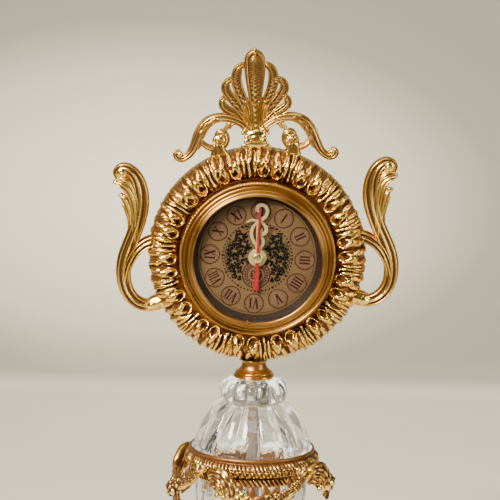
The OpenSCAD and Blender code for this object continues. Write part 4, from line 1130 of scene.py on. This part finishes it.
def line(mesh, points, width, z, mat, place, closed=False):
    """A flat drawn line; width is one number or one for each point."""
    p = np.asarray(points, float)
    t = unit(np.roll(p, -1, 0) - np.roll(p, 1, 0)) if closed else unit(np.gradient(p, axis=0))
    n = np.column_stack([-t[:, 1], t[:, 0]])
    w = np.broadcast_to(width, len(p))[:, None] / 2
    grid = np.stack([p - n * w, p + n * w], 1)
    height = np.full(grid.shape[:2] + (1,), z)
    mesh.grid(np.concatenate([grid, height], -1), closed, False, place, mat)


def ring(r, n=40, cx=0.0, cy=0.0):
    a = np.linspace(0, TAU, n, endpoint=False)
    return np.column_stack([cx + r * np.cos(a), cy + r * np.sin(a)])


def numeral(mesh, word, place, z):
    """Roman figures with thick and thin strokes and flat serifs, centred on the placing."""
    widths = {"I": 2.15, "V": 4.6, "X": 4.6}
    height, serif, room = 6.9, 0.42, 8.2
    total = sum(widths[c] for c in word)
    squeeze = min(1.0, room / total)
    x, top, foot = -total / 2 * squeeze, height / 2, -height / 2
    for c in word:
        w = widths[c] * squeeze
        mid = x + w / 2
        lean = 1.42 * squeeze
        base = lean if c == "X" else 0
        levels = (top - serif / 2, foot + serif / 2)
        if c == "I":
            strokes = [((0, foot), (0, top), 1.15, 0.0)]
            serifs = [(0, y, 0.92) for y in levels]
        else:
            strokes = [((-lean, top), (base, foot), 1.3, 0.0), ((lean, top), (-base, foot), 0.62, 0.003)]
            serifs = [(side * lean, y, 0.8) for side in (-1, 1) for y in (levels if c == "X" else levels[:1])]
        for (x0, y0), (x1, y1), width, lift in strokes:
            line(mesh, [(mid + x0, y0), (mid + x1, y1)], width * squeeze, z + lift, IN_MAROON, place)
        for dx, y, half in serifs:
            ends = [(mid + dx - half * squeeze, y), (mid + dx + half * squeeze, y)]
            line(mesh, ends, serif, z + 0.004, IN_MAROON, place)
        x += w


def spiral(x, y, r, start, sweep, n, tight=0.25, side=1):
    """Points of a curl that winds in to that share of its radius; side -1 mirrors it."""
    t = np.linspace(0, 1, n)
    a = start + sweep * t
    rr = r * (1 - (1 - tight) * t)
    return np.column_stack([side * (x + rr * np.cos(a)), y + rr * np.sin(a)])


def chapters(mesh, place, z):
    """Outer line, twelve cartouches with their numerals, and the ring of minute dots."""
    words = ("XII", "I", "II", "III", "IIII", "V", "VI", "VII", "VIII", "IX", "X", "XI")
    line(mesh, ring(37.6, 180), 0.34, z, IN_MAROON, place, True)
    a = np.linspace(0, TAU, 96, endpoint=False)
    shape = hoop(a, 6.35 + 0.08 * np.cos(4 * a), 0)[:, :2]
    arc = np.linspace(-1.0, 1.0, 16)
    for k, word in enumerate(words):
        here = moved(turned(place, -30 * k), 0, 31.2)
        flat(mesh, shape, z, IN_TAN, here)
        line(mesh, shape, 0.62, z + 0.01, IN_MAROON, here, True)
        for side in (-1, 1):
            line(mesh, np.column_stack([side * 5.5 * np.cos(arc), 5.5 * np.sin(arc)]), 0.2, z + 0.01,
                 IN_MAROON, here)
        numeral(mesh, word, here, z + 0.02)
    for k in range(60):
        a = TAU * k / 60
        dot = ring(0.85 if k % 5 == 0 else 0.6, 10, 22.8 * math.sin(a), 22.8 * math.cos(a))
        flat(mesh, dot, z, IN_INK, place)


def scatter_curls():
    """Curls and leaves spread over one wing, each as x, y, size, start angle, sense and kind."""
    rng = random.Random(4)
    curls = []
    for _ in range(6000):
        r, a = rng.uniform(7.6, 19.6), rng.uniform(-1.02, 0.98)
        x, y = r * math.cos(a), r * math.sin(a)
        size = rng.uniform(1.05, 1.75)
        if math.hypot(x, y + 11.7) < 9.4 + size or math.hypot(x, y) > 20.6 - size * 0.6:
            continue
        if all(math.hypot(x - q[0], y - q[1]) > 0.80 * (size + q[2]) for q in curls):
            curls.append((x, y, size, rng.uniform(0, TAU), rng.choice((-1, 1)), rng.random()))
    return curls


def scroll_wing(mesh, place, z, curls, side):
    """Scrollwork on one side of the dial: bold curls, leaves and drops between arcs."""
    for x, y, size, start, turn, kind in curls:
        if kind < 0.62:
            path = spiral(x, y, size * 0.92, start, turn * (3.6 + 2 * kind), 18, 0.3, side)
            line(mesh, path, np.linspace(1.6, 1.0, 18), z, IN_INK, place)
            a = start + turn * 5
            drop = ring(0.5, 8, side * (x + 0.3 * size * math.cos(a)), y + 0.3 * size * math.sin(a))
            flat(mesh, drop, z + 0.004, IN_INK, place)
        else:
            tip = np.linspace(-1.15, 1.15, 12)
            leaf_x = x + size * tip * math.cos(start) + 0.35 * size * np.cos(tip * 1.6)
            path = np.column_stack([side * leaf_x, y + size * tip * math.sin(start)])
            line(mesh, path, 2.0 * dome(tip / 1.2) + 0.1, z, IN_INK, place)
    # chain of links along the outer edge, and the arcs that tie the wing together
    for k in range(9):
        a = -0.50 + 1.0 * k / 8
        link = ring(0.95, 16, side * 20.6 * math.cos(a), 20.6 * math.sin(a))
        line(mesh, link, 0.55, z + 0.006, IN_INK, place, True)
    for radius, first, last in ((18.4, -0.85, 0.80), (13.2, -0.42, 0.62), (9.4, -0.3, 0.7)):
        edge = np.linspace(first, last, 40)
        wave = radius + 0.5 * np.sin(edge * 14)
        path = np.column_stack([side * wave * np.cos(edge), wave * np.sin(edge)])
        line(mesh, path, 0.85 + 0.35 * np.cos(edge * 26), z + 0.006, IN_INK, place)
    bold, fine = ((1.4, 0.7), 22, IN_INK), ((0.95, 0.5), 18, IN_RUSSET)
    for x, y, size, start, sweep, (width, n, mat) in (
        (8.8, 12.8, 2.4, 2.0, -4.6, bold), (13.6, 15.0, 2.0, 2.6, -4.6, bold),
        (6.2, 8.8, 2.0, 1.4, -4.4, bold), (14.6, -13.2, 2.2, 3.4, 4.4, bold),
        (11.2, -9.6, 1.8, 0.4, 4.4, bold), (6.6, 15.2, 1.8, 0.3, 5.2, fine), (8.6, 18.6, 1.1, 2.3, 4.4, fine),
    ):
        path = spiral(x, y, size, start, sweep, n, side=side)
        line(mesh, path, np.linspace(*width, n), z + 0.008, mat, place)
    path = [(side * 5.2, 19.4), (side * 8.0, 20.3), (side * 11.6, 18.6)]
    line(mesh, path, np.array([0.3, 1.1, 0.3]), z + 0.008, IN_INK, place)


def medallion(mesh, place, z):
    """Round badge below the centre: two rings, a row of ticks between them and a generic flourish."""
    flat(mesh, ring(9.0, 60), z + 0.012, IN_TAN, place)
    for r, w in ((9.0, 0.7), (5.9, 0.6)):
        line(mesh, ring(r, 60), w, z + 0.03, IN_MAROON, place, True)
    for k in range(26):
        c, s = math.cos(TAU * k / 26), math.sin(TAU * k / 26)
        line(mesh, [(6.5 * c, 6.5 * s), (8.1 * c, 8.1 * s)], 0.85, z + 0.03, IN_MAROON, place)
    for side in (-1, 1):
        for x, y, size, start, sweep in ((1.8, 1.4, 1.7, -1.2, 5.2), (1.7, -2.0, 1.4, 1.2, -4.8),
                                         (3.5, -0.4, 0.9, 2.2, 4.6)):
            path = spiral(x, y, size, start, sweep, 20, side=side)
            line(mesh, path, np.linspace(1.0, 0.5, 20), z + 0.03, IN_MAROON, place)


def dial_print():
    """All that is printed on the dial, as flat shapes just in front of the plate."""
    mesh = Mesh()
    z = DIAL_TOP + 0.03
    place = turned(head, -DIAL_TURN - 0.6)
    chapters(mesh, place, z)
    curls = scatter_curls()
    for side in (1, -1):
        scroll_wing(mesh, place, z, curls, side)
    medallion(mesh, moved(place, 0, -11.8), z)
    mesh.object("dial_print", "insert", PRINT, ())


dial_print()

# ---------- hands ----------


HAND_THICK = 0.33


def cut(mesh, outline_pairs, z, thick, place):
    """A thin hand: pairs of left and right edge points, domed slightly across."""
    p = np.asarray(outline_pairs, float)
    mid = p.mean(1)[:, None]
    half = (p[:, 1] - p[:, 0])[:, None] / 2
    u = np.array([-1, -0.86, -0.4, 0, 0.4, 0.86, 1])
    rise = np.array([0.55, 0.9, 1.0, 1.06, 1.0, 0.9, 0.55])
    height = np.broadcast_to(z + thick * rise, (len(p), 7))
    top = np.stack([mid[..., 0] + half[..., 0] * u, mid[..., 1] + half[..., 1] * u, height], -1)
    under = top[:, ::-1].copy()
    under[..., 2] = z
    mesh.grid(np.concatenate([top, under], 1), place=place)


def hand_ribbon(mesh, path, z, place):
    """A curved stroke of a hand along [x, y, width] points, with round ends."""
    p = curve(path, 8)
    t = unit(np.gradient(p[:, :2], axis=0))
    n = np.column_stack([-t[:, 1], t[:, 0]]) * p[:, 2:3] / 2
    cut(mesh, np.stack([p[:, :2] + n, p[:, :2] - n], 1), z, HAND_THICK, place)
    for x, y, width in (p[0], p[-1]):
        disc(mesh, x, y, width / 2, z, HAND_THICK, place)


def disc(mesh, x, y, r, z, thick, place, hole=0.0):
    """A round flat boss with softened edges; hole is the radius of its bore."""
    a = np.linspace(0, TAU, 48, endpoint=False)
    rows = [(hole, 0.0), (r * 0.985, 0.0), (r, 0.55), (r * 0.96, 0.9), (r * 0.8, 1.0),
            (max(hole, 0.001), 1.0)]
    grid = np.stack([hoop(a, q, z + thick * h) for q, h in rows]) + (x, y, 0)
    mesh.grid(grid, place=place, flip=True)


def serpentine(name, node, body, boss, bore, paths):
    """A hand of curved strokes round a bored boss."""
    place = turned(head, -DIAL_TURN)
    z = -span(node)[1][1]
    mesh = Mesh()
    disc(mesh, 0, 0, boss, z, 0.34, place, bore)
    for path in paths:
        hand_ribbon(mesh, path, z, place)
    mesh.object(name, body, CREAM, (node,))


def second_hand():
    """Red sweep hand with a broad tail, under a brass cap."""
    place = turned(head, -DIAL_TURN + 0.6)
    z = -span("second_hand")[1][1]
    mesh = Mesh()
    outline = ((33.6, 0.5), (33.4, 0.68), (24, 0.78), (10, 0.92), (0, 1.0), (-3, 1.0), (-6, 1.15),
               (-14, 1.62), (-21.4, 2.0),
               (-21.6, 1.95))
    cut(mesh, [[(-half, y), (half, y)] for y, half in outline], z, 0.3, place)
    a = np.linspace(0, TAU, 48, endpoint=False)
    cap = [(3.3, 0.3), (3.34, 0.62), (3.16, 0.92), (2.7, 1.12), (1.9, 1.32), (1.3, 1.42), (1.15, 1.36),
           (0.9, 1.44), (0.4, 1.5),
           (0.01, 1.52)]
    mesh.grid(np.stack([hoop(a, r, z + rise) for r, rise in cap]), place=place, mat=1, flip=True)
    mesh.object("second_hand_red", "second", [RED, GEAR_BRASS], ("second_hand",))


serpentine("hour_hand_serpentine", "hour_hand", "hour", 5.9, 2.42, [
    [[0.2, 5.2, 3.2], [-1.4, 8.6, 2.2], [-3.8, 12.2, 2.1], [-4.9, 15.8, 2.2], [-4.4, 19.4, 2.0],
     [-2.4, 22.4, 1.7], [0.4, 24.2, 1.5],
     [2.4, 25.2, 1.2]],
    [[0.2, 5.2, 3.2], [2.2, 8.0, 2.2], [3.2, 10.4, 2.2], [2.4, 12.8, 2.0], [0.8, 14.6, 1.8], [2.4, 15.8, 2.2],
     [4.4, 17.6, 2.4], [4.4, 20.4, 2.2], [2.6, 22.8, 1.8], [0.4, 24.2, 1.5]],
    [[0.4, 24.2, 1.5], [-2.2, 24.8, 1.6], [-5.4, 25.0, 1.5], [-8.0, 23.6, 1.1]],
    [[2.4, 15.8, 2.0], [1.4, 17.6, 1.6], [1.8, 19.4, 1.2]],
])
serpentine("minute_hand_serpentine", "minute_hand", "minute", 4.6, 1.54, [
    [[0, 4.4, 2.8], [-0.2, 9, 2.2], [-0.6, 14, 1.8], [-1.0, 19, 1.7], [-0.6, 23.4, 1.8], [1.2, 25.8, 2.0],
     [3.6, 28.0, 2.1], [4.6, 31.2, 2.2], [3.6, 34.2, 2.1], [0.9, 35.6, 2.0], [-1.6, 34.6, 2.2],
     [-2.2, 32.2, 2.4]],
    [[-2.2, 32.2, 2.3], [-0.8, 31.0, 1.9]],
])
second_hand()

# ---------- stage, lights and camera ----------

scene = bpy.context.scene


def stage():
    """A pale table that sweeps up into a plain wall, painted with a pool of light brightest behind the dial
    that fades to painted shade towards its edges.
    """
    m = Paint("pale_stage", Roughness=0.85)
    height = m.node("ShaderNodeSeparateXYZ", {0: m.space}).outputs[2]
    wall = m.ramp(height, (0.0, 0.0), (0.012, 1.0))
    flat_space = m.node("ShaderNodeMapping", {"Vector": m.space, "Scale": (0.75, 0.0, 1.4)}).outputs[0]
    middle = (-0.045, 0.0, 0.224)
    away = m.node("ShaderNodeVectorMath", {0: flat_space, 1: middle}, operation="DISTANCE").outputs["Value"]
    # painted light: the wall's colour is a bright pool round a point behind the dial, darkening with distance
    # from it
    painted_glow = m.ramp(away, (0.0, (0.97, 0.91, 0.74)), (0.055, (0.93, 0.87, 0.70)), (0.155, (0.66, 0.615, 0.495)),
                  (0.19, (0.46, 0.43, 0.345)), (0.215, (0.35, 0.327, 0.262)), (0.27, (0.32, 0.30, 0.24)))
    table = m.mix(m.noise(6, 3), (0.64, 0.60, 0.49), (0.70, 0.655, 0.535))
    m.set(Base_Color=m.mix(wall, table, painted_glow))
    m.bump(m.noise(300, 3), 0.08, 0.0005)
    # seen from behind, the wall is clear, so that it never hides the clock
    ghost = m.node("ShaderNodeBsdfTransparent").outputs[0]
    m.surface(m.node("ShaderNodeNewGeometry").outputs["Backfacing"], ghost)
    wall_y, sweep_r, front_y, top_z, half_width = 0.805, 0.03, -3.2, 2.6, 4.5
    side = [(front_y, 0.0), (-1.5, 0.0), (0.3, 0.0), (wall_y - sweep_r, 0.0)]
    for bend in np.radians(range(6, 91, 6)):
        side.append((wall_y - sweep_r + sweep_r * math.sin(bend), sweep_r - sweep_r * math.cos(bend)))
    side += [(wall_y, 0.5), (wall_y, 1.2), (wall_y, top_z)]
    x = np.linspace(-half_width, half_width, 13)
    just_under = 0.0001
    mesh = Mesh()
    mesh.grid(np.array([[(q, y, z - just_under) for q in x] for y, z in side]), False, False, np.asarray, 0,
              True)
    ob = mesh.link("stage", [m.mat])


stage()
def lamp(name, at, to, size, power, color, spread=180):
    data = bpy.data.lights.new(name, "AREA")
    data.shape = "RECTANGLE"
    data.size, data.size_y = size
    data.energy = power
    data.color = color
    data.spread = math.radians(spread)
    ob = bpy.data.objects.new(name, data)
    bpy.context.collection.objects.link(ob)
    ob.location = at
    ob.rotation_euler = (Vector(to) - Vector(at)).to_track_quat("-Z", "Y").to_euler()


def studio():
    """A dim warm surround and three soft lamps."""
    scene.world = bpy.data.worlds.new("studio")
    scene.world.use_nodes = True
    background = scene.world.node_tree.nodes["Background"]
    background.inputs["Color"].default_value = (0.62, 0.56, 0.48, 1)
    background.inputs["Strength"].default_value = 0.10
    dial = (0, 0, HEAD_Z * MM)
    lamp("key", (-1.0, -1.25, 1.5), dial, (0.75, 0.75), 22, (1.0, 0.955, 0.86), 70)
    lamp("fill", (1.75, -0.9, 0.75), dial, (0.6, 1.3), 5, (0.97, 0.98, 1.0), 90)
    lamp("top", (0.0, -0.15, 1.75), (0, -0.10, 0), (1.3, 0.7), 11, (1.0, 0.985, 0.96))

def picture():
    """The camera at the photograph's viewing angle."""
    distance, view_width, sensor = 3.0, 0.3285, 36
    azimuth, elevation, roll = (math.radians(d) for d in (-1.5, 12.2, 1.55))
    camera = bpy.data.objects.new("camera", bpy.data.cameras.new("camera"))
    bpy.context.collection.objects.link(camera)
    scene.camera = camera
    camera.data.sensor_width = sensor
    camera.data.lens = sensor * distance / view_width
    level = math.cos(elevation)
    back = Vector((math.sin(azimuth) * level, -math.cos(azimuth) * level, math.sin(elevation)))
    aim = Vector((-0.0049, -0.006, HEAD_Z * MM + 0.0042))
    camera.location = aim + back * distance
    camera.rotation_mode = "QUATERNION"
    camera.rotation_quaternion = (-back).to_track_quat("-Z", "Y") @ Quaternion((0, 0, 1), roll)
    camera.data.clip_start, camera.data.clip_end = 0.05, 20


studio()
picture()
